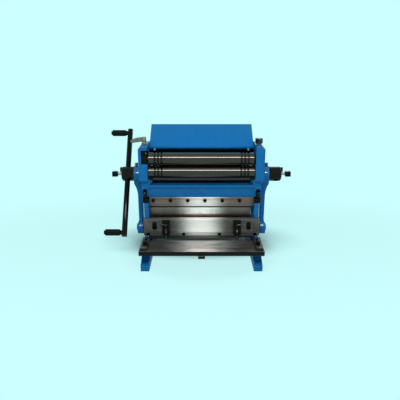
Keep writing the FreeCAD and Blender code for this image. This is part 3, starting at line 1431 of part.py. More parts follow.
def adjusting_screw():
    """Right-hand screw with a square head."""
    pieces = top_screw("adjusting_screw", 1, d.slot_ceiling)
    low = d.housing_top + 4
    head = square_head("adjusting_screw_head", d.screw_head_half, (d.top_screw_x, -d.roll_y, low),
                       d.screw_head_height, HEAD_TURNED)
    return fuse("adjusting_screw", head, *pieces)


def clamp_lever():
    """Left-hand screw with a plain post and a thick, drooping, leaf-shaped handle."""
    pieces = top_screw("clamp_lever", -1, d.open_slot_ceiling)
    x = -d.top_screw_x
    low = d.housing_top + 4
    post = rod("clamp_lever_post", d.lever_post_radius, (x, -d.roll_y, low), d.lever_post_height, UPWARDS)
    top = low + d.lever_post_height
    reach = d.lever_reach
    droop = d.lever_droop
    leaf = new_body("clamp_lever_leaf")
    upper = [(0, 0), (0.35, 0.06), (0.62, 0.24), (0.85, 0.55), (0.96, 0.85)]
    lower = [(1, 1.15), (0.97, 1.42), (0.88, 1.55), (0.66, 1.42), (0.35, 1.25), (0, 1.15)]
    outline = [(x - reach * along, top - 0.8 - droop * down) for along, down in upper + lower]
    pad(leaf, "clamp_lever_leaf_pad", "XZ_Plane", d.roll_y - d.leaf_half, d.leaf_half * 2, outline)
    return fuse("clamp_lever", post, leaf, *pieces)


# ---------------------------------------------------------------- gears

def involute(base_radius, radius):
    """Angle that an involute has turned through where it reaches a radius."""
    roll = math.sqrt(max((radius / base_radius) ** 2 - 1, 0))
    return roll - math.atan(roll)


def gear_outline(teeth):
    """Closed wire of an involute spur gear in the YZ plane, with a tooth along +Y."""
    pitch = MODULE * teeth / 2
    base = pitch * math.cos(math.radians(PRESSURE_ANGLE))
    tip = pitch + MODULE
    root = pitch - 1.2 * MODULE
    half_tooth = (math.pi * MODULE / 2 - BACKLASH) / 2 / pitch
    at_pitch = involute(base, pitch)
    start = max(base, root + 0.3)
    radii = [start + (tip - start) * i / 3 for i in range(4)]
    flank = [(r, half_tooth + at_pitch - involute(base, r)) for r in radii]

    def point(radius, angle):
        return Vector(0, radius * math.cos(angle), radius * math.sin(angle))

    edges = []
    step = 2 * math.pi / teeth
    for number in range(teeth):
        middle = number * step
        rising = [point(r, middle - a) for r, a in flank]
        falling = [point(r, middle + a) for r, a in reversed(flank)]
        foot_angle = flank[0][1]
        foot_in = point(root, middle - foot_angle)
        foot_out = point(root, middle + foot_angle)
        next_foot = point(root, middle + step - foot_angle)
        for points in (rising, falling):
            curve = Part.BSplineCurve()
            curve.interpolate(points)
            edges.append(curve.toShape())
        edges.append(Part.LineSegment(rising[-1], falling[0]).toShape())
        edges.append(Part.LineSegment(foot_in, rising[0]).toShape())
        edges.append(Part.LineSegment(falling[-1], foot_out).toShape())
        edges.append(Part.Arc(foot_out, point(root, middle + step / 2), next_foot).toShape())
    return Part.Wire(Part.__sortEdges__(edges))


def gear(name, teeth, centre, phase, bore=None, hub_length=0):
    """A spur gear at a (y, z) centre, turned by phase radians, with a bore or a hub."""
    face = Part.Face(gear_outline(teeth))
    wide = d.gear_face.number
    solid = face.extrude(Vector(wide, 0, 0))
    along = Vector(1, 0, 0)
    if bore:
        solid = solid.cut(Part.makeCylinder(bore, wide, Vector(0, 0, 0), along))
    if hub_length:
        radius = d.lower_journal.number
        solid = solid.fuse(Part.makeCylinder(radius, hub_length + 1, Vector(-hub_length, 0, 0), along))
    feature = doc.addObject("Part::Feature", name)
    feature.Shape = solid.removeSplitter()
    turn = Rotation(along, math.degrees(phase))
    feature.Placement = Placement(Vector(d.gear_start.number, centre[0], centre[1]), turn)
    return feature


def meshing_phase(teeth, phase, centre, next_teeth, next_centre):
    """The phase of the next gear whose tooth space faces a tooth of this one."""
    line = math.atan2(next_centre[1] - centre[1], next_centre[0] - centre[0])
    here = (line - phase) * teeth / (2 * math.pi)
    there = 0.5 - here
    return line + math.pi - there * 2 * math.pi / next_teeth


def gear_train():
    """Shaft gear, idler, lower and upper roll gears, in mesh."""
    shaft_phase = 0
    idler_phase = meshing_phase(SHAFT_TEETH, shaft_phase, SHAFT_CENTRE, IDLER_TEETH, IDLER_CENTRE)
    lower_phase = meshing_phase(IDLER_TEETH, idler_phase, IDLER_CENTRE, ROLL_TEETH, LOWER_CENTRE)
    upper_phase = meshing_phase(ROLL_TEETH, lower_phase, LOWER_CENTRE, ROLL_TEETH, UPPER_CENTRE)
    running = d.idler_stud_radius.number + d.running_gap.number
    slot_end = d.housing_inside.number + d.slot_depth.number
    hub_length = d.gear_start.number - slot_end - 0.4
    shaft_radius = d.shaft_radius.number
    seat_radius = d.gear_seat_radius.number
    return {
        "shaft_gear": gear("shaft_gear", SHAFT_TEETH, SHAFT_CENTRE, shaft_phase, shaft_radius),
        "idler_gear": gear("idler_gear", IDLER_TEETH, IDLER_CENTRE, idler_phase, running),
        "lower_roll_gear": gear("lower_roll_gear", ROLL_TEETH, LOWER_CENTRE, lower_phase, seat_radius),
        "upper_roll_gear": gear("upper_roll_gear", ROLL_TEETH, UPPER_CENTRE, upper_phase, None, hub_length),
    }


def idler_stud():
    """Headed stud pressed into the right housing for the idler gear."""
    start = d.idler_stud_start
    end = d.housing_outside
    stem = rod("idler_stud_stem", d.idler_stud_radius, (start, *IDLER_CENTRE), end - start)
    head = rod("idler_stud_head", d.idler_stud_radius + 3, (end - 0.2, *IDLER_CENTRE), 2)
    return fuse("idler_stud", stem, head)


# ---------------------------------------------------------------- cover

def cover():
    """Bent sheet cover: front lip, sloping panel, ridge, deep back wall and end cheeks, open below."""
    body = new_body("cover")
    wall = d.sheet_thick
    front = d.cover_front
    back = d.cover_back
    shoulder = d.cover_ridge_z - 4
    outline = [
        (front, d.cover_lip), (front, d.cover_fold), (d.cover_ridge_y, d.cover_ridge_z), (back, shoulder),
        (back, d.cover_back_lip), (d.housing_back, d.cover_lip),
    ]
    pad(body, "cover_form", "YZ_Plane", -d.cover_half, d.cover_half * 2, outline)
    below = d.cover_back_lip - 1
    hollow = [
        (front + wall, below), (front + wall, d.cover_fold - wall * 0.5),
        (d.cover_ridge_y, d.cover_ridge_z - wall * 1.3), (back - wall, shoulder - wall * 0.8),
        (back - wall, below),
    ]
    pocket(body, "cover_hollow", "YZ_Plane", -d.cover_half + wall, (d.cover_half - wall) * 2, hollow)
    return body


def cover_bracket():
    """Flat bar between the housings with two posts that carry the cover."""
    top = 315
    bar = box("cover_bar", (-d.housing_inside, d.housing_inside), (24, 40), (top - 9, top))
    posts = []
    for side, tag in SIDES:
        place = (side * d.cover_post_x, 30, top - 1)
        posts.append(rod("cover_post_" + tag, d.cover_post_radius, place, 16.6, UPWARDS))
    return fuse("cover_bracket", bar, *posts)


# ---------------------------------------------------------------- output

def write(nodes):
    """Check the whole document, then write each sub-part."""
    doc.recompute()
    failed = [thing.Name for thing in doc.Objects if set(thing.State) & {"Invalid", "Error"}]
    if failed:
        raise RuntimeError("objects that failed: " + ", ".join(failed))
    os.makedirs("parts", exist_ok=True)
    for name, thing in nodes.items():
        thing.Label = name
        if thing.Shape.isNull() or not thing.Shape.isValid():
            raise RuntimeError("bad shape: " + name)
        thing.Shape.exportStep("parts/%s.step" % name)
        print("%-20s %2d solid(s) %9.0f mm3" % (name, len(thing.Shape.Solids), thing.Shape.Volume))
    print(len(nodes), "sub-parts")


def build():
    """Make every sub-part. Returns node name to document object."""
    nodes = {
        "table": table(),
        "lower_blade": lower_blade(),
        "side_guides": group("side_guides", *[side_guide(side, tag) for side, tag in SIDES]),
        "socket_screws": socket_screws(),
        "frame_bolts": frame_bolts(),
        "tie_rod": tie_rod(),
        "top_beam": top_beam(),
        "clamp_plate": clamp_plate(),
        "bearing_bushes": bearing_bushes(),
        "idler_stud": idler_stud(),
        "cover": cover(),
        "cover_bracket": cover_bracket(),
        "drive_shaft": drive_shaft(),
        "crank_bar": crank_bar(),
        "ram": ram(),
        "ram_plate": ram_plate(),
        "upper_blade": upper_blade(),
        "v_die": v_die(),
        "ram_screws": ram_screws(),
        "stud_blocks": stud_blocks(),
        "holddown_brackets": holddown_brackets(),
        "upper_roll": upper_roll(),
        "lower_roll": lower_roll(),
        "rear_roll": rear_roll(),
        "rear_roll_blocks": rear_roll_blocks(),
        "roll_block_left": roll_block_left(),
        "lift_block": lift_block(),
        "swivel_bearing": swivel_bearing(),
        "adjusting_screw": adjusting_screw(),
        "clamp_lever": clamp_lever(),
    }
    for name, make in (("side_frame", side_frame), ("hub", hub), ("arm", arm), ("arm_pin", arm_pin)):
        right = make()
        nodes[name + "_right"] = right
        nodes[name + "_left"] = mirrored(name + "_left", right)
    for name, make in (("roll_housing", roll_housing), ("lock_screw", lock_screw), ("plunger", plunger),
                       ("spring", spring), ("rear_screw", rear_screw)):
        for side, tag in SIDES:
            nodes["%s_%s" % (name, tag)] = make(side, tag)
    for tag, reach in GRIPS:
        nodes["grip_" + tag] = grip(tag, reach)
    nodes.update(gear_train())
    nodes.update(fingers())
    return nodes


write(build())
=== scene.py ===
# %% [markdown]
# A bench-top slip roll machine, dressed for a studio picture. The CAD model gives every rigid
# piece its size and place, and its bodies give the motion. This lesson adds what a CAD model
# leaves out: rounded casting edges, screw threads, coil springs, oilers and finishes.

# %% Load the frame
import json
import math

import bpy
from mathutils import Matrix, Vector


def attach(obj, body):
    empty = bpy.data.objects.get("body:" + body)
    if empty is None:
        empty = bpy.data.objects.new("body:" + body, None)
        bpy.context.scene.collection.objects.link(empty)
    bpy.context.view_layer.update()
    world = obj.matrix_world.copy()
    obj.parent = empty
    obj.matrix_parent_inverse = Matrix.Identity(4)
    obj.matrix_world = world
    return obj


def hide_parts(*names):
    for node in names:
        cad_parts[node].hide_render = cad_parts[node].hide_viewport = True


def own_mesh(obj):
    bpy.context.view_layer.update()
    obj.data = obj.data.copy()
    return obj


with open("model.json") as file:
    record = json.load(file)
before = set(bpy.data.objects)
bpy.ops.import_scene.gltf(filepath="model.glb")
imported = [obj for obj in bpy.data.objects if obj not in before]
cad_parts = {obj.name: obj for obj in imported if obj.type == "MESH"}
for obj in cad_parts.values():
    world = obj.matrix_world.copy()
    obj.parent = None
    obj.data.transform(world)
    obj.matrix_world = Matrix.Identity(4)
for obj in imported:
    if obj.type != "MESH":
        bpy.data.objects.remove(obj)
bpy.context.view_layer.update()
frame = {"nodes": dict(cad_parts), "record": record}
nodes = frame["nodes"]

# %% [markdown]
# The camera comes first, because every later choice is judged through it. The machine is seen from
# the operator's side, from above the rolls. Lens and height were fitted to the proportions of the
# real machine. A normal lens two and a half machine widths away keeps the uprights nearly parallel.

# %% Camera
MM = 0.001
DOWNWARD_TILT = math.radians(17)
CAMERA_PLACE = Vector((-4.4, -1297, 568)) * MM
FOCAL_LENGTH = 41.22
SENSOR_WIDTH = 36

camera_data = bpy.data.cameras.new("studio_camera")
camera_data.lens = FOCAL_LENGTH
camera_data.sensor_width = SENSOR_WIDTH
camera = bpy.data.objects.new("studio_camera", camera_data)
bpy.context.scene.collection.objects.link(camera)
camera.location = CAMERA_PLACE
camera.rotation_euler = (math.pi / 2 - DOWNWARD_TILT, 0, 0)
bpy.context.scene.camera = camera
bpy.context.scene.view_settings.view_transform = "Standard"
print("camera at", tuple(round(c, 3) for c in camera.location))

# %% [markdown]
# Materials are node trees. Writing them as sums and products reads better than a list of links, so
# one small class wraps a socket and turns Python arithmetic into Math nodes. Every other node comes
# from its node method.

# %% A socket that does arithmetic
class Socket:
    """One value in a material's node tree."""

    def __init__(self, tree, link=None):
        self.tree = tree
        self.link = link

    def node(self, kind, settings=None, inputs=None, output=0):
        """Add a node: first its settings, then its inputs. Returns one of its outputs."""
        new = self.tree.nodes.new(kind)
        for name, setting in (settings or {}).items():
            setattr(new, name, setting)
        for key, value in (inputs or {}).items():
            if isinstance(value, Socket):
                self.tree.links.new(value.link, new.inputs[key])
            else:
                new.inputs[key].default_value = value
        return Socket(self.tree, new.outputs[output]) if new.outputs else None

    def math(self, operation, first, second):
        return self.node("ShaderNodeMath", {"operation": operation}, {0: first, 1: second})

    def __add__(self, other):
        return self.math("ADD", self, other)

    def __sub__(self, other):
        return self.math("SUBTRACT", self, other)

    def __rsub__(self, other):
        return self.math("SUBTRACT", other, self)

    def __mul__(self, other):
        return self.math("MULTIPLY", self, other)

    def __abs__(self):
        return self.math("ABSOLUTE", self, 0)

    __radd__ = __add__
    __rmul__ = __mul__


print("socket arithmetic ready")

# %% [markdown]
# A few patterns come back in every finish: noise in object coordinates, stretched along one axis
# for brushed metal, a soft threshold that turns it into a mask, and a mix of two colours.

# %% Patterns
EVEN = (1, 1, 1)


def opaque(red, green, blue):
    """A linear colour with full opacity."""
    return (red, green, blue, 1)


def noise(wires, stretch, scale, detail, rough=0.5):
    """Noise in object space. stretch multiplies X, Y and Z, so a small number draws long streaks."""
    place = wires.node("ShaderNodeTexCoord", output="Object")
    mapped = wires.node("ShaderNodeMapping", {}, {"Vector": place, "Scale": stretch})
    return wires.node(
        "ShaderNodeTexNoise", {},
        {"Vector": mapped, "Scale": scale, "Detail": detail, "Roughness": rough}, "Fac")


def threshold(wires, value, low, high):
    """0 below low, 1 above high, and a soft step between."""
    return wires.node(
        "ShaderNodeMapRange", {"interpolation_type": "SMOOTHSTEP"},
        {"Value": value, "From Min": low, "From Max": high})


def mixed(wires, factor, first, second):
    """A colour between first and second."""
    colours = {0: factor, 6: first, 7: second}
    return wires.node("ShaderNodeMix", {"data_type": "RGBA"}, colours, 2)


print("patterns ready")

# %% [markdown]
# A finish also asks where a point lies on its piece and which way the surface faces there: oil
# gathers towards the ends of a plate, and only what faces up is rubbed bright. A material starts
# empty and ends with the principled shader, which takes its inputs by name.

# %% Places, directions and the shader
def new_material(name):
    """An empty material, ready for nodes."""
    material = bpy.data.materials.new(name)
    material.use_nodes = True
    material.node_tree.nodes.clear()
    return material, Socket(material.node_tree)


def place_along(wires, axis):
    """Where a point of the piece lies along an axis, in metres."""
    place = wires.node("ShaderNodeTexCoord", output="Object")
    return wires.node("ShaderNodeSeparateXYZ", {}, {"Vector": place}, axis)


def facing(wires, axis):
    """How far the surface faces along an axis, from -1 to 1."""
    normal = wires.node("ShaderNodeNewGeometry", output="Normal")
    return wires.node("ShaderNodeSeparateXYZ", {}, {"Vector": normal}, axis)


def bumped(wires, height, distance):
    """A surface normal disturbed by a height, with distance in metres."""
    return wires.node("ShaderNodeBump", {}, {"Height": height, "Distance": distance}, "Normal")


def surface(wires, **inputs):
    """The principled shader and the material's output."""
    named = {key.replace("_", " "): value for key, value in inputs.items()}
    shader = wires.node("ShaderNodeBsdfPrincipled", {}, named)
    wires.node("ShaderNodeOutputMaterial", {}, {"Surface": shader})


print("shader helpers ready")

# %% [markdown]
# The castings are sprayed with a blue machine enamel. Under a coat of paint a sand casting still shows
# its grain, so a fine bump and a slower waviness go below a glossy coat, and the colour drifts a little
# where the coat is thinner. Dust and oil settle as small darker specks. The top beam has a long rounded
# edge that catches the light, and a painted highlight makes its colour paler there.

# %% Blue enamel
OIL_SPECK = opaque(0.006, 0.045, 0.12)
# A paler blue, painted as a highlight on the top beam's rounded edge.
PAINTED_HIGHLIGHT_RIM = opaque(0.22, 0.50, 0.78)


def blue_enamel(name, deep, thin, grain_height, edge_gloss, rim=0.0):
    """Sprayed enamel over a sand casting or, with little grain, over sheet metal. Wet paint pulls
    smooth over rounded edges, so the glossy coat is fullest where front turns into top, and rim mixes a
    painted highlight into the colour there."""
    material, wires = new_material(name)
    edge = threshold(wires, facing(wires, "Z") * facing(wires, "Y") * -1, 0.22, 0.36)
    grain = noise(wires, EVEN, scale=700, detail=4, rough=0.6)
    waves = noise(wires, EVEN, scale=60, detail=2)
    drift = threshold(wires, waves, 0.3, 0.7)
    specks = threshold(wires, noise(wires, EVEN, scale=380, detail=2), 0.70, 0.78)
    colour = mixed(wires, drift, deep, thin)
    colour = mixed(wires, specks * 0.45, colour, OIL_SPECK)
    # Painted highlight: rim pales the colour along the rounded edge.
    colour = mixed(wires, edge * rim, colour, PAINTED_HIGHLIGHT_RIM)
    surface(
        wires, Base_Color=colour, Roughness=0.34 + grain * 0.14, Specular_IOR_Level=0.1,
        Coat_Weight=0.15 + edge * edge_gloss, Coat_Roughness=0.10,
        Normal=bumped(wires, grain * grain_height + waves, distance=0.00022))
    return material


CAST_COLOURS = (opaque(0.0020, 0.096, 0.272), opaque(0.0030, 0.112, 0.312))
SHEET_COLOURS = (opaque(0.0030, 0.138, 0.395), opaque(0.0040, 0.148, 0.420))
CAST_BLUE = blue_enamel("cast_blue", *CAST_COLOURS, grain_height=0.35, edge_gloss=0.85)
# The beam's rounded edge gets a painted highlight.
BEAM_BLUE = blue_enamel("beam_blue", *CAST_COLOURS, grain_height=0.35, edge_gloss=0.85, rim=0.9)
SHEET_BLUE = blue_enamel("sheet_blue", *SHEET_COLOURS, grain_height=0.08, edge_gloss=0.0)
print(CAST_BLUE.name, BEAM_BLUE.name, SHEET_BLUE.name)

# %% [markdown]
# Blades, fingers and plates are ground steel. A surface grinder leaves long parallel lines, here along
# X. The lines change the colour, the roughness and the height together. Preserving oil has turned the
# steel a warm grey-brown and gathers in darker patches. Towards the ends the darkening grows as painted
# shade, which leaves a painted highlight in the middle, and faces that point up get less of it as a
# painted reflection. Under the clamp plate the fingers get a dark band of painted shade.

# %% Ground steel
# Near black, painted as shade in the seam under the clamp plate.
SEAM_SHADE = opaque(0.007, 0.006, 0.0055)
OIL_AND_SHADE_REACH = 0.1
SEAM_FADE = 0.0001


def ground_steel(name, bright, dark, oil_and_shade, shade_seams=()):
    """Steel with grinding lines along X, under oil patches and a painted shade that thickens up to
    OIL_AND_SHADE_REACH metres from the middle. Faces that point up get less of both, which paints a
    reflection on them. Each seam is a pair of heights between which the colour is darkened as painted
    shade."""
    material, wires = new_material(name)
    lines = noise(wires, (0.8, 60, 60), scale=30, detail=5, rough=0.65)
    fine = noise(wires, (3, 240, 240), scale=30, detail=2, rough=0.6)
    blotches = noise(wires, (0.7, 1.6, 1.6), scale=16, detail=4, rough=0.6)
    # Painted shade: darker towards the ends, which leaves a painted highlight in the middle.
    outwards = threshold(wires, abs(place_along(wires, "X")), 0.0, OIL_AND_SHADE_REACH)
    up = threshold(wires, facing(wires, "Z"), 0.4, 0.9)
    # Real oil patches, plus painted shade towards the ends and a painted reflection on faces that point
    # up.
    oil_and_shade_mask = threshold(wires, outwards * 0.75 + blotches * 0.35 - up * 0.2, 0.14, 0.86)
    steel = mixed(wires, threshold(wires, lines, 0.35, 0.65), dark, bright)
    colour = mixed(wires, oil_and_shade_mask * 0.92, steel, oil_and_shade)
    # Painted shade: each seam darkens the colour between two heights.
    for low, high in shade_seams:
        height = place_along(wires, "Z")
        over_low = threshold(wires, height, low - SEAM_FADE, low + SEAM_FADE)
        under_high = threshold(wires, height, high + SEAM_FADE, high - SEAM_FADE)
        colour = mixed(wires, over_low * under_high, colour, SEAM_SHADE)
    surface(
        wires, Base_Color=colour, Metallic=0.8, Roughness=0.40 + lines * 0.16,
        Normal=bumped(wires, lines + fine * 0.4, distance=0.00009))
    return material


FINGER_SHADE_SEAM = (0.1572, 0.1612)
PLATE_STEEL = ground_steel(
    "plate_steel", bright=opaque(0.97, 0.80, 0.76), dark=opaque(0.82, 0.67, 0.63),
    oil_and_shade=opaque(0.030, 0.018, 0.015))
CLAMP_STEEL = ground_steel(
    "clamp_steel", bright=opaque(0.90, 0.70, 0.66), dark=opaque(0.76, 0.58, 0.54),
    oil_and_shade=opaque(0.090, 0.050, 0.040))
FINGER_STEEL = ground_steel(
    "finger_steel", bright=opaque(0.97, 0.82, 0.79), dark=opaque(0.80, 0.67, 0.63),
    oil_and_shade=opaque(0.070, 0.045, 0.035), shade_seams=[FINGER_SHADE_SEAM])
# A darker copy of the ground steel, painted shade along the foot of the front plate.
SHADED_BAND_STEEL = ground_steel(
    "shaded_band_steel", bright=opaque(0.46, 0.44, 0.43), dark=opaque(0.32, 0.30, 0.29),
    oil_and_shade=opaque(0.040, 0.030, 0.026))
# A darker copy of the ground steel, painted shade for the upper blade and the die.
SHADED_BLADE_STEEL = ground_steel(
    "shaded_blade_steel", bright=opaque(0.11, 0.090, 0.082), dark=opaque(0.060, 0.048, 0.043),
    oil_and_shade=opaque(0.020, 0.015, 0.013))
print(PLATE_STEEL.name, CLAMP_STEEL.name, FINGER_STEEL.name, SHADED_BAND_STEEL.name, SHADED_BLADE_STEEL.name)

# %% [markdown]
# The rolls are turned, polished and oiled, which makes them nearly black with one long highlight. Their
# tool marks run round the barrel, so the pattern changes almost only along X and looks the same however
# far a roll has turned. A thin coat stands for the oil. The wire grooves near the ends are rougher and
# keep no oil, and their colour is darkened as painted shade. The hubs are turned as well, and
# blackened.

# %% Turned steel
# Dark brown, painted as shade in the wire grooves.
GROOVE_SHADE = opaque(0.022, 0.016, 0.014)
GROOVE_SHADE_FROM = 0.0010
GROOVE_SHADE_UNTIL = 0.0022


def turned_steel(name, bright, dark, roughness, oil=0.0, grooves=()):
    """Steel with tool marks around the X axis. Grooves are distances from the middle, and their painted
    shade fades between GROOVE_SHADE_FROM and GROOVE_SHADE_UNTIL metres to each side."""
    material, wires = new_material(name)
    rings = noise(wires, (1, 0.01, 0.01), scale=900, detail=3, rough=0.7)
    slow = noise(wires, (1, 0.3, 0.3), scale=25, detail=3, rough=0.6)
    shade = threshold(wires, rings * 0.6 + slow * 0.4, 0.35, 0.65)
    steel = mixed(wires, shade, dark, bright)
    outside_grooves = 1
    for groove in grooves:
        off_groove = abs(abs(place_along(wires, "X")) - groove)
        outside_grooves = outside_grooves * threshold(wires, off_groove, GROOVE_SHADE_FROM, GROOVE_SHADE_UNTIL)
    # Painted shade darkens the colour in the grooves.
    if grooves:
        steel = mixed(wires, outside_grooves, GROOVE_SHADE, steel)
    surface(
        wires, Base_Color=steel, Metallic=0.95,
        Roughness=roughness + slow * 0.03 + 0.2 * (1 - outside_grooves),
        Coat_Weight=oil * outside_grooves, Coat_Roughness=0.07,
        Normal=bumped(wires, rings, distance=0.0000008))
    return material


WIRE_GROOVES = (0.1125, 0.1222, 0.1319)
ROLL_COLOURS = (opaque(0.062, 0.046, 0.040), opaque(0.056, 0.041, 0.035))
HUB_COLOURS = (opaque(0.018, 0.014, 0.013), opaque(0.013, 0.010, 0.009))
SHAFT_COLOURS = (opaque(0.26, 0.235, 0.22), opaque(0.14, 0.125, 0.115))
ROLL_STEEL = turned_steel("roll_steel", *ROLL_COLOURS, roughness=0.10, oil=0.12, grooves=WIRE_GROOVES)
REAR_STEEL = turned_steel("rear_roll_steel", *ROLL_COLOURS, roughness=0.16)
HUB_STEEL = turned_steel("hub_steel", *HUB_COLOURS, roughness=0.10)
SHAFT_STEEL = turned_steel("shaft_steel", *SHAFT_COLOURS, roughness=0.26)
print(ROLL_STEEL.name, REAR_STEEL.name, HUB_STEEL.name, SHAFT_STEEL.name)

# %% [markdown]
# Small milled and turned pieces don't show one direction of marks at this size, so they share an
# even satin grain. The steels run from bright, where handling has worn the black away, to dark
# under old oil. The clamp lever is cast, so its grain is coarser. Bushes and oilers are bronze.

# %% Satin steel and bronze
def satin_metal(name, colour, shadow, roughness, grain_scale=900):
    """Metal with an even satin grain and slow tarnish."""
    material, wires = new_material(name)
    grain = noise(wires, EVEN, scale=grain_scale, detail=2)
    tarnish = threshold(wires, noise(wires, EVEN, scale=70, detail=4, rough=0.6), 0.4, 0.7)
    surface(
        wires, Base_Color=mixed(wires, tarnish, colour, shadow), Metallic=0.95,
        Roughness=roughness + grain * 0.14 + tarnish * 0.08,
        Normal=bumped(wires, grain, distance=0.00003))
    return material


SATIN_STEEL = satin_metal("satin_steel", opaque(0.21, 0.19, 0.18), opaque(0.10, 0.088, 0.08), 0.28)
BRIGHT_STEEL = satin_metal("bright_steel", opaque(0.68, 0.66, 0.64), opaque(0.48, 0.45, 0.42), 0.22)
LEVER_STEEL = satin_metal(
    "lever_steel", opaque(0.175, 0.170, 0.145), opaque(0.10, 0.092, 0.078), 0.36, grain_scale=500)
WORN_STEEL = satin_metal(
    "worn_steel", opaque(0.12, 0.105, 0.098), opaque(0.045, 0.038, 0.034), 0.24)
DARK_STEEL = satin_metal(
    "dark_steel", opaque(0.062, 0.055, 0.052), opaque(0.022, 0.019, 0.018), 0.16)
BRONZE = satin_metal("bush_bronze", opaque(0.20, 0.13, 0.065), opaque(0.075, 0.048, 0.030), 0.30)
satin_finishes = [SATIN_STEEL, BRIGHT_STEEL, LEVER_STEEL, WORN_STEEL, DARK_STEEL, BRONZE]
print(*(material.name for material in satin_finishes))

# %% [markdown]
# Screws, brackets and the rear guard are blackened steel: a dark oxide that stays satin and lets a
# little bare metal through where it is rubbed. The hand bar is polished before it is blackened, so
# it is glossier. The grips are moulded in black plastic.

# %% Black oxide and black plastic
OXIDE = opaque(0.006, 0.005, 0.0047)


def black_oxide(name, roughness, rubbed_colour):
    """Blackened steel. A lower roughness gives the polished kind."""
    material, wires = new_material(name)
    grain = noise(wires, EVEN, scale=500, detail=3, rough=0.6)
    rubbed = threshold(wires, noise(wires, EVEN, scale=90, detail=5, rough=0.65), 0.60, 0.76)
    surface(
        wires, Base_Color=mixed(wires, rubbed, OXIDE, rubbed_colour), Metallic=0.6,
        Roughness=roughness + grain * 0.06, Specular_IOR_Level=0.15,
        Normal=bumped(wires, grain, distance=0.000015))
    return material


def black_plastic():
    """Moulded plastic with a faint sheen."""
    material, wires = new_material("black_plastic")
    sheen = noise(wires, EVEN, scale=130, detail=3)
    colour = mixed(wires, sheen, opaque(0.003, 0.003, 0.003), opaque(0.006, 0.0057, 0.006))
    surface(
        wires, Base_Color=colour, Roughness=0.42 + sheen * 0.16, IOR=1.15,
        Normal=bumped(wires, sheen, distance=0.00004))
    return material


BLACK_STEEL = black_oxide("black_oxide", 0.12, rubbed_colour=opaque(0.045, 0.037, 0.033))
BAR_STEEL = black_oxide("polished_black", 0.08, rubbed_colour=opaque(0.070, 0.056, 0.048))
PLASTIC = black_plastic()
print(BLACK_STEEL.name, BAR_STEEL.name, PLASTIC.name)

# %% [markdown]
# The table is planed on top and left dark on its edges. One material does both: how far the surface
# normal points up chooses between the planed top and the blackened sides. A scribed line runs along
# the table near its front edge.

# %% Table iron
SCRIBED_LINE_Y = -0.103
LINE_FROM = 0.0005
LINE_UNTIL = 0.0012
SCRIBED_DARK = opaque(0.03, 0.026, 0.024)
TABLE_OIL_AND_SHADE = opaque(0.064, 0.047, 0.041)


def table_iron():
    """Cast iron with a planed, oiled top, painted shade towards its ends, and dark sides."""
    material, wires = new_material("table_iron")
    lines = noise(wires, (1.5, 70, 70), scale=30, detail=5, rough=0.7)
    stains = threshold(wires, noise(wires, (1, 2.2, 1), scale=16, detail=5, rough=0.65), 0.40, 0.70)
    planed = threshold(wires, lines, 0.3, 0.7)
    top = mixed(wires, planed, opaque(0.58, 0.50, 0.47), opaque(0.88, 0.78, 0.74))
    # Painted shade: the oil darkening grows towards the ends, which leaves a painted highlight in the
    # middle.
    outwards = threshold(wires, abs(place_along(wires, "X")), 0.01, 0.12)
    oil_and_shade_mask = threshold(wires, outwards * 0.7 + stains * 0.3, 0.05, 0.8)
    top = mixed(wires, oil_and_shade_mask * 0.92, top, TABLE_OIL_AND_SHADE)
    from_line = abs(place_along(wires, "Y") - SCRIBED_LINE_Y)
    off_line = threshold(wires, from_line, LINE_FROM, LINE_UNTIL)
    top = mixed(wires, off_line, SCRIBED_DARK, top)
    side = mixed(wires, lines, opaque(0.004, 0.0035, 0.0035), opaque(0.011, 0.0095, 0.009))
    up = threshold(wires, facing(wires, "Z"), 0.75, 0.95)
    surface(
        wires, Base_Color=mixed(wires, up, side, top), Metallic=0.4 + up * 0.35,
        Specular_IOR_Level=0.15, Roughness=0.46 - up * 0.12 + lines * 0.2,
        Normal=bumped(wires, lines + off_line * 2, distance=0.00008))
    return material


TABLE = table_iron()
print(TABLE.name)

# %% [markdown]
# Modelling helpers. An operator acts on everything that is selected, so each helper first selects
# just its own piece. A modifier is set and applied at once, which keeps each mesh plain.

# %% Selecting and editing
def select_only(piece):
    """Make one object the active and only selected one."""
    bpy.ops.object.select_all(action="DESELECT")
    piece.hide_set(False)
    piece.select_set(True)
    bpy.context.view_layer.objects.active = piece


def edit(piece):
    """Go into edit mode with the whole mesh selected."""
    select_only(piece)
    bpy.ops.object.mode_set(mode="EDIT")
    bpy.ops.mesh.select_all(action="SELECT")


def leave_edit():
    bpy.ops.object.mode_set(mode="OBJECT")


def apply_modifier(piece, kind, **settings):
    """Add a modifier, set it and apply it."""
    select_only(piece)
    modifier = piece.modifiers.new(kind.lower(), kind)
    for name, value in settings.items():
        setattr(modifier, name, value)
    bpy.ops.object.modifier_apply(modifier=modifier.name)


print("editing helpers ready")

# %% [markdown]
# A finished piece keeps its place in its mesh, with its object at the origin, so its textures and
# its motion share the machine's own coordinates. Edges flatter than an angle are shaded smooth: 30
# degrees for milled pieces, and more for turned ones and for the coils, whose wire has few sides.

# %% Finishing a piece
MILLED_ANGLE = 30
TURNED_ANGLE = 40
COIL_ANGLE = 60


def finish(piece, name, body, material, stands_for=(), smooth=MILLED_ANGLE):
    """Name a piece, settle its place into its mesh, shade it, paint it and hand it to its body."""
    select_only(piece)
    bpy.ops.object.transform_apply(location=True, rotation=True, scale=True)
    bpy.ops.object.shade_smooth_by_angle(angle=math.radians(smooth))
    piece.name = name
    piece.data.materials.clear()
    piece.data.materials.append(material)
    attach(piece, body)
    if stands_for:
        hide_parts(*stands_for)


bodies = frame["record"]["behaviour"]["bodies"]
body_of_node = {node: body for body, group in bodies.items() for node in group}
print("bodies known for", len(body_of_node), "nodes")

# %% [markdown]
# A CAD solid has perfectly sharp edges, and nothing made of metal does. Each casting and plate is
# copied, its triangles are merged back into faces, and a bevel of real width rounds every sharp
# edge. The width follows the making: a millimetre or more on a casting, less on its pins and on
# the sheet cover.

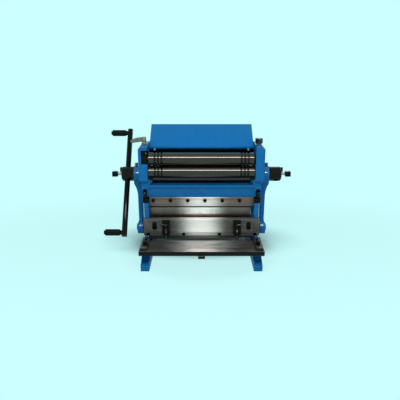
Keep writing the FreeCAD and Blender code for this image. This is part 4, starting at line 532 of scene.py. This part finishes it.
# %% Rounded copies of the CAD pieces
COPY_MERGE = 0.004 * MM
COPLANAR = math.radians(1.5)
SHARP = math.radians(32)


def copy_of(node, name):
    """A copy of a CAD node whose loose triangles are merged back into faces."""
    piece = bpy.data.objects.new(name, nodes[node].data.copy())
    bpy.context.scene.collection.objects.link(piece)
    edit(piece)
    bpy.ops.mesh.customdata_custom_splitnormals_clear()
    bpy.ops.mesh.remove_doubles(threshold=COPY_MERGE)
    bpy.ops.mesh.dissolve_limited(angle_limit=COPLANAR, delimit={"NORMAL"})
    leave_edit()
    return piece


def ease_edges(piece, width_mm):
    """Round every sharp edge of a piece."""
    apply_modifier(
        piece, "BEVEL", width=width_mm * MM, segments=2, limit_method="ANGLE",
        angle_limit=SHARP, miter_outer="MITER_ARC", use_clamp_overlap=True)


def rounded(node, width_mm, material):
    """Copy a CAD node, round its sharp edges and let the copy stand for it."""
    piece = copy_of(node, node + "_eased")
    ease_edges(piece, width_mm)
    finish(piece, node + "_eased", body_of_node[node], material, [node])


castings = {
    "side_frame_left": 1.6, "side_frame_right": 1.6,
    "roll_housing_left": 1.2, "roll_housing_right": 1.2, "top_beam": 2.4, "ram": 1.0,
    "arm_left": 1.3, "arm_right": 1.3, "arm_pin_left": 0.5, "arm_pin_right": 0.5,
}
for node, width in castings.items():
    rounded(node, width, BEAM_BLUE if node == "top_beam" else CAST_BLUE)
rounded("cover", 0.5, SHEET_BLUE)
print("castings:", len(castings), "and the cover")

# %% [markdown]
# Ground plates have their sharp corners broken by a stone and no more, so their bevel is a few
# tenths of a millimetre. The table and its squaring bars are planed iron, eased a little further.

# %% Plates, blades and table
plates = {
    "clamp_plate": CLAMP_STEEL, "upper_blade": SHADED_BLADE_STEEL,
    "lower_blade": PLATE_STEEL, "v_die": SHADED_BLADE_STEEL,
}
for node, material in plates.items():
    rounded(node, 0.35, material)
rounded("table", 0.8, TABLE)
rounded("side_guides", 0.5, TABLE)
print("plates:", len(plates), "and the table with its guides")

# %% [markdown]
# A relief groove runs across the fingers just under the clamp plate, so that the plate's lower edge
# never rests on the fillet of their shoulders. One thin block cuts it into all six copies.

# %% Brake fingers
FINGER_COUNT = 6
GROOVE_LOW = (-160, -28, 157.2)
GROOVE_HIGH = (160, -18.5, 160.9)


def block(low_mm, high_mm):
    """A box between two corners, as a start for a sheet-metal piece or as a cutter."""
    bpy.ops.object.select_all(action="DESELECT")
    size = [(high - low) * MM for low, high in zip(low_mm, high_mm)]
    middle = [(high + low) / 2 * MM for low, high in zip(low_mm, high_mm)]
    bpy.ops.mesh.primitive_cube_add(size=1, location=middle, scale=size)
    return bpy.context.object


groove = block(GROOVE_LOW, GROOVE_HIGH)
for number in range(1, FINGER_COUNT + 1):
    node = "finger_%d" % number
    piece = copy_of(node, node + "_eased")
    apply_modifier(piece, "BOOLEAN", operation="DIFFERENCE", object=groove, solver="EXACT")
    ease_edges(piece, 0.6)
    finish(piece, node + "_eased", "frame", FINGER_STEEL, [node])
bpy.data.objects.remove(groove)
print("fingers:", FINGER_COUNT)

# %% [markdown]
# Hubs, brackets, bar, lever and bearing blocks are copied and eased in the same way. Each row names
# the nodes, the width of their bevel in millimetres, their finish and their slot.

# %% Hubs, bar, lever and blocks
small_pieces = [
    (["hub_left", "hub_right"], 0.8, HUB_STEEL, "black_steel"),
    (["holddown_brackets"], 1.2, BLACK_STEEL, "black_steel"),
    (["roll_block_left"], 0.8, BLACK_STEEL, "black_steel"),
    (["crank_bar"], 0.6, BAR_STEEL, "roll_steel"),
    (["clamp_lever"], 1.1, LEVER_STEEL, "machined_steel"),
    (["plunger_left", "plunger_right"], 0.2, DARK_STEEL, "machined_steel"),
    (["lift_block", "rear_roll_blocks"], 0.4, SATIN_STEEL, "machined_steel"),
]
for names, width, material, slot in small_pieces:
    for node in names:
        rounded(node, width, material)
print("small pieces:", sum(len(row[0]) for row in small_pieces))

# %% [markdown]
# Some nodes are one solid but two finishes, such as a black head on a bright neck. A copy is sliced by
# a plane, the unwanted side is cleared, and the cut is filled. The front plate keeps both halves: a
# ground face, and along its foot, where the shear blade is screwed on, a band painted darker as shade.
# A neck or a stud that is cut away is turned again below, with its thread.

# %% Slicing a copy
CUT_TOLERANCE = 1e-6


def sliced(node, name, place_mm, away, width_mm, material, slot):
    """The part of a node that is left when the side of a plane that away points to is cleared."""
    piece = copy_of(node, name)
    edit(piece)
    bpy.ops.mesh.bisect(
        plane_co=[c * MM for c in place_mm], plane_no=away, use_fill=True, clear_outer=True,
        threshold=CUT_TOLERANCE)
    leave_edit()
    ease_edges(piece, width_mm)
    finish(piece, name, body_of_node[node], material, [node])


LEFT, RIGHT = (-1, 0, 0), (1, 0, 0)
DOWN, UP = (0, 0, -1), (0, 0, 1)
BAND_TOP = 89.7
HEAD_FACE = 253
BLOCK_TOP = 190.5
SCREW_HEAD_FOOT = 344.2
BAR_TOP = 315
slices = [
    ("ram_plate", "ram_plate_face", (0, 0, BAND_TOP), DOWN, 0.6, PLATE_STEEL, "ground_steel"),
    # The band along the plate's foot is painted shade.
    ("ram_plate", "ram_plate_band", (0, 0, BAND_TOP), UP, 0.6, SHADED_BAND_STEEL, "ground_steel"),
    ("lock_screw_left", "lock_head_left", (-HEAD_FACE, 0, 0), RIGHT, 0.3, BLACK_STEEL, "black_steel"),
    ("lock_screw_right", "lock_head_right", (HEAD_FACE, 0, 0), LEFT, 0.3, BLACK_STEEL, "black_steel"),
    ("stud_blocks", "stud_blocks_eased", (0, 0, BLOCK_TOP), UP, 0.4, BLACK_STEEL, "black_steel"),
    ("adjusting_screw", "adjusting_head", (0, 0, SCREW_HEAD_FOOT), DOWN, 0.5, DARK_STEEL, "roll_steel"),
    ("cover_bracket", "cover_bar_eased", (0, 0, BAR_TOP), UP, 0.5, BLACK_STEEL, "black_steel"),
    ("cover_bracket", "cover_posts", (0, 0, BAR_TOP), DOWN, 0.4, BRIGHT_STEEL, "black_steel"),
]
for row in slices:
    sliced(*row)
print("slices:", len(slices))

# %% [markdown]
# Round pieces are turned as on a lathe. A ring of edges is pulled along its axis and resized at each
# step of the profile, then the ends are closed.

# %% Turning round pieces
CLOSE_MERGE = 0.002 * MM


def close_mesh():
    """In edit mode: merge doubles, fill the open ends and turn every face outwards. Then leave."""
    bpy.ops.mesh.select_all(action="SELECT")
    bpy.ops.mesh.remove_doubles(threshold=CLOSE_MERGE)
    bpy.ops.mesh.fill_holes(sides=0)
    bpy.ops.mesh.normals_make_consistent(inside=False)
    leave_edit()


def turn(profile, sides=40):
    """A round piece about the Z axis from (height, radius) steps in millimetres. A profile that
    comes back to its first step gives a ring with a hole."""
    bpy.ops.object.select_all(action="DESELECT")
    height, radius = profile[0]
    bpy.ops.mesh.primitive_circle_add(
        vertices=sides, radius=radius * MM, location=(0, 0, height * MM))
    piece = bpy.context.object
    bpy.ops.object.transform_apply(location=True)
    edit(piece)
    for next_height, next_radius in profile[1:]:
        step = (0, 0, (next_height - height) * MM)
        bpy.ops.mesh.extrude_edges_move(TRANSFORM_OT_translate={"value": step})
        scale = next_radius / radius
        bpy.ops.transform.resize(value=(scale, scale, 1), center_override=(0, 0, 0))
        height, radius = next_height, next_radius
    close_mesh()
    return piece


print("lathe ready")

# %% [markdown]
# A thread at this size is a row of ridges: the eye can't follow a helix, and plain rings keep the
# mesh light. A turned piece is then stood in its place, and one that comes twice is copied.

# %% Threads, places and copies
THREAD_DEPTH = 0.55
CREST = (0.4, 0.6)
LEAD_IN_LENGTH = 0.4
LEAD_IN_DEPTH = 0.5


def thread(start, end, radius, pitch):
    """Profile steps of a thread with a short lead-in at its end. Depth and crest are given as
    parts of the pitch."""
    root = radius - THREAD_DEPTH * pitch
    steps = []
    for number in range(int((end - start) / pitch)):
        low = start + number * pitch
        steps.append((low, root))
        steps.extend((low + pitch * part, radius) for part in CREST)
    return steps + [(end - LEAD_IN_LENGTH, root), (end, root - LEAD_IN_DEPTH)]


def stand(piece, place_mm, tilt=(0, 0, 0)):
    """Tilt a piece by degrees about the axes and move it to its place."""
    piece.rotation_euler = [math.radians(angle) for angle in tilt]
    piece.location = [c * MM for c in place_mm]
    return piece


def twin(piece):
    """A second piece with its own mesh."""
    other = piece.copy()
    other.data = piece.data.copy()
    bpy.context.scene.collection.objects.link(other)
    return other


print("threads ready")

# %% [markdown]
# The studs on the ram and the necks of the lock screws are threaded. One stud and one neck are
# turned, then copied to the other side with their own mesh.

# %% Threaded studs and necks
SIDES = ((-1, "left"), (1, "right"))
STUD_X, STUD_Y = 163, -38.75
SHAFT_Y, SHAFT_Z = 55, 238
stud = turn(thread(start=-2, end=15.5, radius=4.5, pitch=1.5))
neck = turn(thread(start=-21.7, end=0.3, radius=4.45, pitch=1.5))
for side, tag in SIDES:
    piece = stand(twin(stud), (side * STUD_X, STUD_Y, BLOCK_TOP))
    finish(piece, "ram_stud_" + tag, "ram", DARK_STEEL, ["stud_blocks"], TURNED_ANGLE)
    piece = stand(twin(neck), (side * HEAD_FACE, SHAFT_Y, SHAFT_Z), (0, side * 90, 0))
    screw = "lock_screw_" + tag
    finish(piece, "lock_neck_" + tag, screw, BRIGHT_STEEL, [screw], TURNED_ANGLE)
bpy.data.objects.remove(stud)
bpy.data.objects.remove(neck)
print("studs and necks ready")

# %% [markdown]
# Under its square head the adjusting screw has a round collar on a threaded shank, which ends in a
# plain point. The thread's lead-in is left off, because the collar follows at once. Two short steps
# of the profile chamfer the collar's edges.

# %% Collar of the adjusting screw
SCREW_X, SCREW_Y = 161.2, -20
point = [(319.7, 2.4), (323.4, 2.4)]
shank = thread(start=323.5, end=341, radius=4.95, pitch=1.5)
collar = [(341, 7.6), (341.5, 8.1), (343.7, 8.1), (344.2, 7.6), (344.3, 3)]
piece = stand(turn(point + shank[:-2] + collar), (SCREW_X, SCREW_Y, 0))
finish(
    piece, "adjusting_collar", "adjusting_screw", SATIN_STEEL, ["adjusting_screw"],
    TURNED_ANGLE)
print("collar ready")

# %% [markdown]
# Each arm's top boss has an oiler: a bronze cup pressed into the casting, with a spring-loaded ball
# that a can's spout pushes down. The ball's top stands just proud of the cup's lip. One profile
# goes up the cup, over its lip and down to the ball.

# %% Oilers on the arms
BOSS_X, BOSS_Y, BOSS_TOP = 194.5, 45, 264.5
cup = [(-1.2, 4.6), (1.2, 4.6), (1.6, 4.0), (3.0, 4.0), (3.4, 4.9), (8.6, 4.9), (9.2, 4.3), (9.0, 3.2)]
ball = [(8.2, 3.0), (8.8, 2.4), (9.3, 1.4), (9.5, 0.3)]
oiler = turn(cup + ball, sides=32)
for side, tag in SIDES:
    piece = stand(twin(oiler), (side * BOSS_X, BOSS_Y, BOSS_TOP))
    finish(piece, "oiler_" + tag, "arm_" + tag, BRONZE, smooth=TURNED_ANGLE)
bpy.data.objects.remove(oiler)
print("oilers ready")

# %% [markdown]
# The hold-down springs are real coils. A circle of wire is swept round the axis by the Screw
# modifier, one turn for each iteration.

# %% Coil springs
SPRING_X, SPRING_Y = 102.5, -60
SPRING_LOW = 92
SPRING_HIGH = 104
END_GAP = 0.1
COIL_RADIUS = 3.9
WIRE_RADIUS = 0.6
WIRE_SIDES = 10
TURNS = 5
STEPS = 28
PITCH = (SPRING_HIGH - SPRING_LOW - 2 * WIRE_RADIUS - 2 * END_GAP) / TURNS
for side, tag in SIDES:
    bpy.ops.object.select_all(action="DESELECT")
    bpy.ops.mesh.primitive_circle_add(
        vertices=WIRE_SIDES, radius=WIRE_RADIUS * MM, rotation=(math.pi / 2, 0, 0))
    coil = bpy.context.object
    bpy.ops.object.transform_apply(rotation=True)
    edit(coil)
    bpy.ops.transform.translate(value=(COIL_RADIUS * MM, 0, 0))
    leave_edit()
    apply_modifier(
        coil, "SCREW", angle=2 * math.pi, screw_offset=PITCH * MM, iterations=TURNS, steps=STEPS,
        render_steps=STEPS, use_merge_vertices=False)
    edit(coil)
    close_mesh()
    stand(coil, (side * SPRING_X, SPRING_Y, SPRING_LOW + WIRE_RADIUS + END_GAP))
    finish(
        coil, "spring_coil_" + tag, "ram", SATIN_STEEL, ["spring_" + tag], COIL_ANGLE)
    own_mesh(coil)
print("springs ready")

# %% [markdown]
# The screws under the rear roll have knurled knobs. Every second face round a turned knob is set in
# by an individual inset, which leaves straight ridges for the fingers.

# %% Knurled knobs
KNOB_SIDES = 44
KNOB_CHAMFER = 0.8
RIDGE_INSET = 0.12
RIDGE_DEPTH = 0.3


def knurled(radius, low, high):
    """A knob with straight ridges between two plain, chamfered ends."""
    ends = radius - KNOB_CHAMFER
    profile = [(low, ends), (low + KNOB_CHAMFER, radius), (high - KNOB_CHAMFER, radius), (high, ends)]
    knob = turn(profile, KNOB_SIDES)
    edit(knob)
    bpy.ops.mesh.select_all(action="DESELECT")
    leave_edit()
    for face in knob.data.polygons:
        turned_by = math.degrees(math.atan2(face.normal.y, face.normal.x)) % 360
        upright = abs(face.normal.z) < 0.1
        face.select = upright and int(turned_by / 360 * KNOB_SIDES) % 2 == 0
    bpy.ops.object.mode_set(mode="EDIT")
    bpy.ops.mesh.inset(thickness=RIDGE_INSET * MM, depth=-RIDGE_DEPTH * MM, use_individual=True)
    leave_edit()
    return knob


REAR_SCREW_X, REAR_SCREW_Y = 154, 18
for side, tag in SIDES:
    place = (side * REAR_SCREW_X, REAR_SCREW_Y, 0)
    screw = "rear_screw_" + tag
    knob = stand(knurled(radius=6, low=164, high=176.5), place)
    finish(knob, "rear_knob_" + tag, screw, BLACK_STEEL, [screw])
    stem = stand(turn(thread(start=176, end=222, radius=3.95, pitch=1.25)), place)
    finish(stem, "rear_stem_" + tag, screw, SATIN_STEEL, [screw], TURNED_ANGLE)
print("rear screws ready")

# %% [markdown]
# The screw in each slot of the front plate has a washer under its head. It is a ring with a
# chamfered edge. Behind it a thin black slide closes the slot.

# %% Washers and slides
WASHER_EASE = 0.25


def washer(inner, outer, thick):
    """A ring with eased outer edges."""
    profile = [
        (0, inner), (0, outer - WASHER_EASE), (WASHER_EASE, outer), (thick - WASHER_EASE, outer),
        (thick, outer - WASHER_EASE), (thick, inner), (0, inner)]
    return turn(profile, sides=36)


FACE_FORWARDS = (90, 0, 0)
SLOT_X = 136
WASHER_Y, WASHER_Z = -41.2, 111.5
SLIDE_HALF_WIDTH = 6.6
SLIDE_FRONT, SLIDE_BACK = -38.2, -36.4
SLIDE_FOOT, SLIDE_TOP = 93.8, 120.1
for side, tag in SIDES:
    x = side * SLOT_X
    piece = stand(washer(inner=3.6, outer=6.4, thick=1.4), (x, WASHER_Y, WASHER_Z), FACE_FORWARDS)
    finish(piece, "slot_washer_" + tag, "ram", WORN_STEEL)
    piece = block(
        (x - SLIDE_HALF_WIDTH, SLIDE_FRONT, SLIDE_FOOT), (x + SLIDE_HALF_WIDTH, SLIDE_BACK, SLIDE_TOP))
    ease_edges(piece, 0.5)
    finish(piece, "slot_slide_" + tag, "ram", BLACK_STEEL)
print("washers and slides ready")

# %% [markdown]
# The left block of the upper roll is held by a cap screw, with a smaller set screw above it. Both
# heads have a hexagon socket: a six-sided rod is taken out of a turned head.

# %% Screws of the left roll block
HEAD_CHAMFER = 0.6
HEAD_SUNK = 0.4


def cap_screw(radius, height, socket):
    """A turned head with a hexagon socket. It stands on Z = 0, with its foot sunk a little into
    what is below."""
    rim = radius - HEAD_CHAMFER
    profile = [(-HEAD_SUNK, rim), (0.1, radius), (height - HEAD_CHAMFER, radius), (height, rim)]
    head = turn(profile, sides=32)
    bpy.ops.object.select_all(action="DESELECT")
    bpy.ops.mesh.primitive_cylinder_add(
        vertices=6, radius=socket * MM, depth=height * MM, location=(0, 0, height * MM))
    cutter = bpy.context.object
    apply_modifier(head, "BOOLEAN", operation="DIFFERENCE", object=cutter, solver="EXACT")
    bpy.data.objects.remove(cutter)
    return head


BLOCK_FRONT = -37
CAP_SCREW_PLACE = (-161.5, BLOCK_FRONT, 311)
SET_SCREW_PLACE = (-156.5, BLOCK_FRONT, 319)
piece = stand(cap_screw(radius=5.6, height=5.5, socket=2.9), CAP_SCREW_PLACE, FACE_FORWARDS)
finish(piece, "block_cap_screw", "yoke", BLACK_STEEL)
piece = stand(cap_screw(radius=2.1, height=2.2, socket=1.1), SET_SCREW_PLACE, FACE_FORWARDS)
finish(piece, "block_set_screw", "yoke", SATIN_STEEL)
print("block screws ready")

# %% [markdown]
# Three black sheet and plate pieces close the machine where only shade shows through it: a guard at the
# foot of the cover's back, behind the rolls, and an end plate on each end of the cover's bar, under its
# lip. Their black is painted shade. Each is a thin block whose corners are bevelled first, then its
# edges.

# %% Black plates behind the rolls
CORNER_STEPS = 6


def sheet_plate(low_mm, high_mm, corner_mm, edge_mm):
    """A plate with rounded corners, standing across its thinnest direction."""
    piece = block(low_mm, high_mm)
    spans = [high - low for low, high in zip(low_mm, high_mm)]
    thin = spans.index(min(spans))
    select_only(piece)
    bpy.ops.object.transform_apply(location=True, rotation=True, scale=True)
    edit(piece)
    bpy.ops.mesh.select_mode(type="EDGE")
    bpy.ops.mesh.select_all(action="DESELECT")
    leave_edit()
    for line in piece.data.edges:
        first, second = (piece.data.vertices[number].co for number in line.vertices)
        line.select = abs(first[thin] - second[thin]) > 0.5 * spans[thin] * MM
    bpy.ops.object.mode_set(mode="EDIT")
    bpy.ops.mesh.bevel(offset=corner_mm * MM, segments=CORNER_STEPS)
    bpy.ops.mesh.select_mode(type="VERT")
    leave_edit()
    ease_edges(piece, edge_mm)
    return piece


def side_plate(side, low_mm, high_mm, corner_mm, edge_mm):
    """A sheet plate between two corners on the right side, or its mirror image on the left."""
    low_x, high_x = sorted((side * low_mm[0], side * high_mm[0]))
    return sheet_plate((low_x, *low_mm[1:]), (high_x, *high_mm[1:]), corner_mm, edge_mm)


FACE_BACKWARDS = (-90, 0, 0)
GUARD_BACK = 105.3
GUARD_SCREW_Z = 298
# A black plate where only shade shows behind the rolls; its black is painted shade.
guard = sheet_plate((-151, 104.1, 241), (151, GUARD_BACK, 306), corner_mm=5, edge_mm=0.3)
finish(guard, "rear_shade_plate", "frame", BLACK_STEEL)
for number, x in enumerate((-120, 0, 120), 1):
    head = cap_screw(radius=4.2, height=2.6, socket=1.9)
    screw = stand(head, (x, GUARD_BACK, GUARD_SCREW_Z), FACE_BACKWARDS)
    finish(screw, "guard_screw_%d" % number, "frame", BLACK_STEEL)
# Black end plates under the cover's lip, painted shade where the background would show.
for side, tag in SIDES:
    plate = side_plate(side, (148.9, 24.5, 304), (151.9, 64, 325.5), corner_mm=4, edge_mm=0.3)
    finish(plate, "bar_end_plate_" + tag, "frame", BLACK_STEEL)
print("guard and end plates ready")

# %% [markdown]
# The arms are cast with a raised strip along the inner side, which stiffens them. The strip is a low
# plate with rounded ends, clear of the frame's bolt heads.

# %% Strips inside the arms
for side, tag in SIDES:
    strip = side_plate(side, (178.4, 39, 98), (180.1, 51, 192), corner_mm=5, edge_mm=0.4)
    finish(strip, "arm_strip_" + tag, "arm_" + tag, CAST_BLUE)
print("arm strips ready")

# %% [markdown]
# The remaining CAD nodes are rolls, shafts, gears, bushes, screws and grips whose edges are already
# right. They keep their mesh and only get a finish.

# %% Finishes of the other nodes
finishes = {
    ROLL_STEEL: ["upper_roll", "lower_roll"],
    REAR_STEEL: ["rear_roll"],
    SHAFT_STEEL: [
        "drive_shaft", "tie_rod", "shaft_gear", "idler_gear", "lower_roll_gear", "upper_roll_gear"],
    SATIN_STEEL: ["idler_stud", "swivel_bearing"],
    BLACK_STEEL: ["socket_screws", "frame_bolts", "ram_screws"],
    PLASTIC: ["grip_upper", "grip_lower"],
    BRONZE: ["bearing_bushes"],
}
for material, names in finishes.items():
    for name in names:
        nodes[name].data.materials.clear()
        nodes[name].data.materials.append(material)
print("refinished:", sum(len(names) for names in finishes.values()))

# %% [markdown]
# The stage is a pale floor that fades into the background, so that no horizon crosses the picture.
# Near the machine the floor is matt and takes its shadow. Further out it turns into the plain
# background colour, which the world repeats. A ray's kind says whether it shows the background to
# the camera or only carries light to the machine.

# %% Background colour and rays
BACKDROP = opaque(0.604, 1.0, 1.0)


def seen_or_mirrored(wires):
    """1 for rays that show a background to the camera, straight, mirrored or through glass."""
    seen = wires.node("ShaderNodeLightPath", output="Is Camera Ray")
    mirrored = wires.node("ShaderNodeLightPath", output="Is Glossy Ray")
    through = wires.node("ShaderNodeLightPath", output="Is Transmission Ray")
    return wires.math("MAXIMUM", wires.math("MAXIMUM", seen, mirrored), through)


def distance_from(wires, centre, stretch):
    """How far a point lies from a centre in metres, with each axis stretched."""
    place = wires.node("ShaderNodeTexCoord", output="Object")
    offset = wires.node("ShaderNodeVectorMath", {"operation": "SUBTRACT"}, {0: place, 1: centre})
    oval = wires.node("ShaderNodeVectorMath", {"operation": "MULTIPLY"}, {0: offset, 1: stretch})
    return wires.node("ShaderNodeVectorMath", {"operation": "LENGTH"}, {0: oval}, "Value")


print("backdrop", BACKDROP)

# %% [markdown]
# The floor's matt part is centred a little behind the machine, where the shadow falls. It ends in two
# steps: a quick one that takes most of the matt away, and a slow one for the rest. Right under the
# machine, where little light comes, the floor's colour is darkened as a painted shadow.

# %% Floor
FLOOR_SIZE = 30
SHADOW_CENTRE = (0, 0.12, 0)
SHADED_FLOOR = opaque(0.16, 0.20, 0.19)
OPEN_FLOOR = opaque(0.60, 0.95, 0.95)


def floor_material():
    """Matt near the machine, with a painted shadow right under it, and the plain background colour far
    from it.
    """
    material, wires = new_material("studio_floor")
    distance = distance_from(wires, SHADOW_CENTRE, stretch=(1, 2, 1))
    quick = threshold(wires, distance, 0.17, 0.37)
    slow = threshold(wires, distance, 0.4, 1.2)
    far = 0.86 * quick + 0.14 * slow
    direct = 0.35 + 0.65 * seen_or_mirrored(wires)
    reach = distance_from(wires, (0, 0, 0), stretch=(1, 1.25, 1))
    # Painted shadow: the floor's colour is darker right under the machine.
    tone = mixed(wires, threshold(wires, reach, 0.17, 0.27), SHADED_FLOOR, OPEN_FLOOR)
    matt = wires.node("ShaderNodeBsdfDiffuse", {}, {"Color": tone})
    plain = wires.node("ShaderNodeEmission", {}, {"Color": BACKDROP, "Strength": 1.0})
    shader = wires.node("ShaderNodeMixShader", {}, {0: far * direct, 1: matt, 2: plain})
    wires.node("ShaderNodeOutputMaterial", {}, {"Surface": shader})
    return material


bpy.ops.object.select_all(action="DESELECT")
bpy.ops.mesh.primitive_plane_add(size=FLOOR_SIZE)
floor = bpy.context.object
floor.name = "studio_floor"
floor.data.materials.append(floor_material())
print("floor:", FLOOR_SIZE, "m wide")

# %% [markdown]
# The world has two faces. What the camera and the mirrors see of it is the plain background colour.
# What lights the machine is a much weaker, nearly white sky.

# %% World
SKY_COLOUR = opaque(0.95, 0.98, 1.0)
SKY_STRENGTH = 0.21
world = bpy.data.worlds.new("studio_world")
world.use_nodes = True
world.node_tree.nodes.clear()
sky = Socket(world.node_tree)
lighting = sky.node("ShaderNodeBackground", {}, {"Color": SKY_COLOUR, "Strength": SKY_STRENGTH})
backdrop = sky.node("ShaderNodeBackground", {}, {"Color": BACKDROP, "Strength": 1.0})
sky_shader = sky.node("ShaderNodeMixShader", {}, {0: seen_or_mirrored(sky), 1: lighting, 2: backdrop})
sky.node("ShaderNodeOutputWorld", {}, {"Surface": sky_shader})
bpy.context.scene.world = world
print("world ready")

# %% [markdown]
# The key lamp is a long, narrow strip in front of the machine and above it. A roll shows it as one
# bright line along its barrel, and a broad lamp there would turn the whole roll pale. Two weak lamps
# open up the sides, and one lights the back.

# %% Lamps
LAMP_COLOUR = (0.92, 1.0, 0.99)
AIM = (0, 0, 0.2)


def softbox(name, place, width, height, power):
    """An oblong lamp that faces the machine, in metres and watts."""
    data = bpy.data.lights.new(name, "AREA")
    data.shape = "RECTANGLE"
    data.size = width
    data.size_y = height
    data.energy = power
    data.color = LAMP_COLOUR
    lamp = bpy.data.objects.new(name, data)
    lamp.location = place
    lamp.rotation_euler = (Vector(AIM) - Vector(place)).to_track_quat("-Z", "Y").to_euler()
    bpy.context.scene.collection.objects.link(lamp)


softbox("key_lamp", (0, -1.35, 1.42), width=1.4, height=0.27, power=26)
softbox("left_lamp", (-1.5, -0.8, 0.7), width=0.7, height=0.7, power=3)
softbox("right_lamp", (1.5, -0.8, 0.7), width=0.7, height=0.7, power=3)
softbox("rear_lamp", (0.2, 1.5, 0.85), width=0.8, height=0.5, power=3)
print("lamps ready")

# %% A box as plain numbers
def plain(box):
    """A bounding box as plain lists of numbers."""
    return [[float(value) for value in corner] for corner in box]
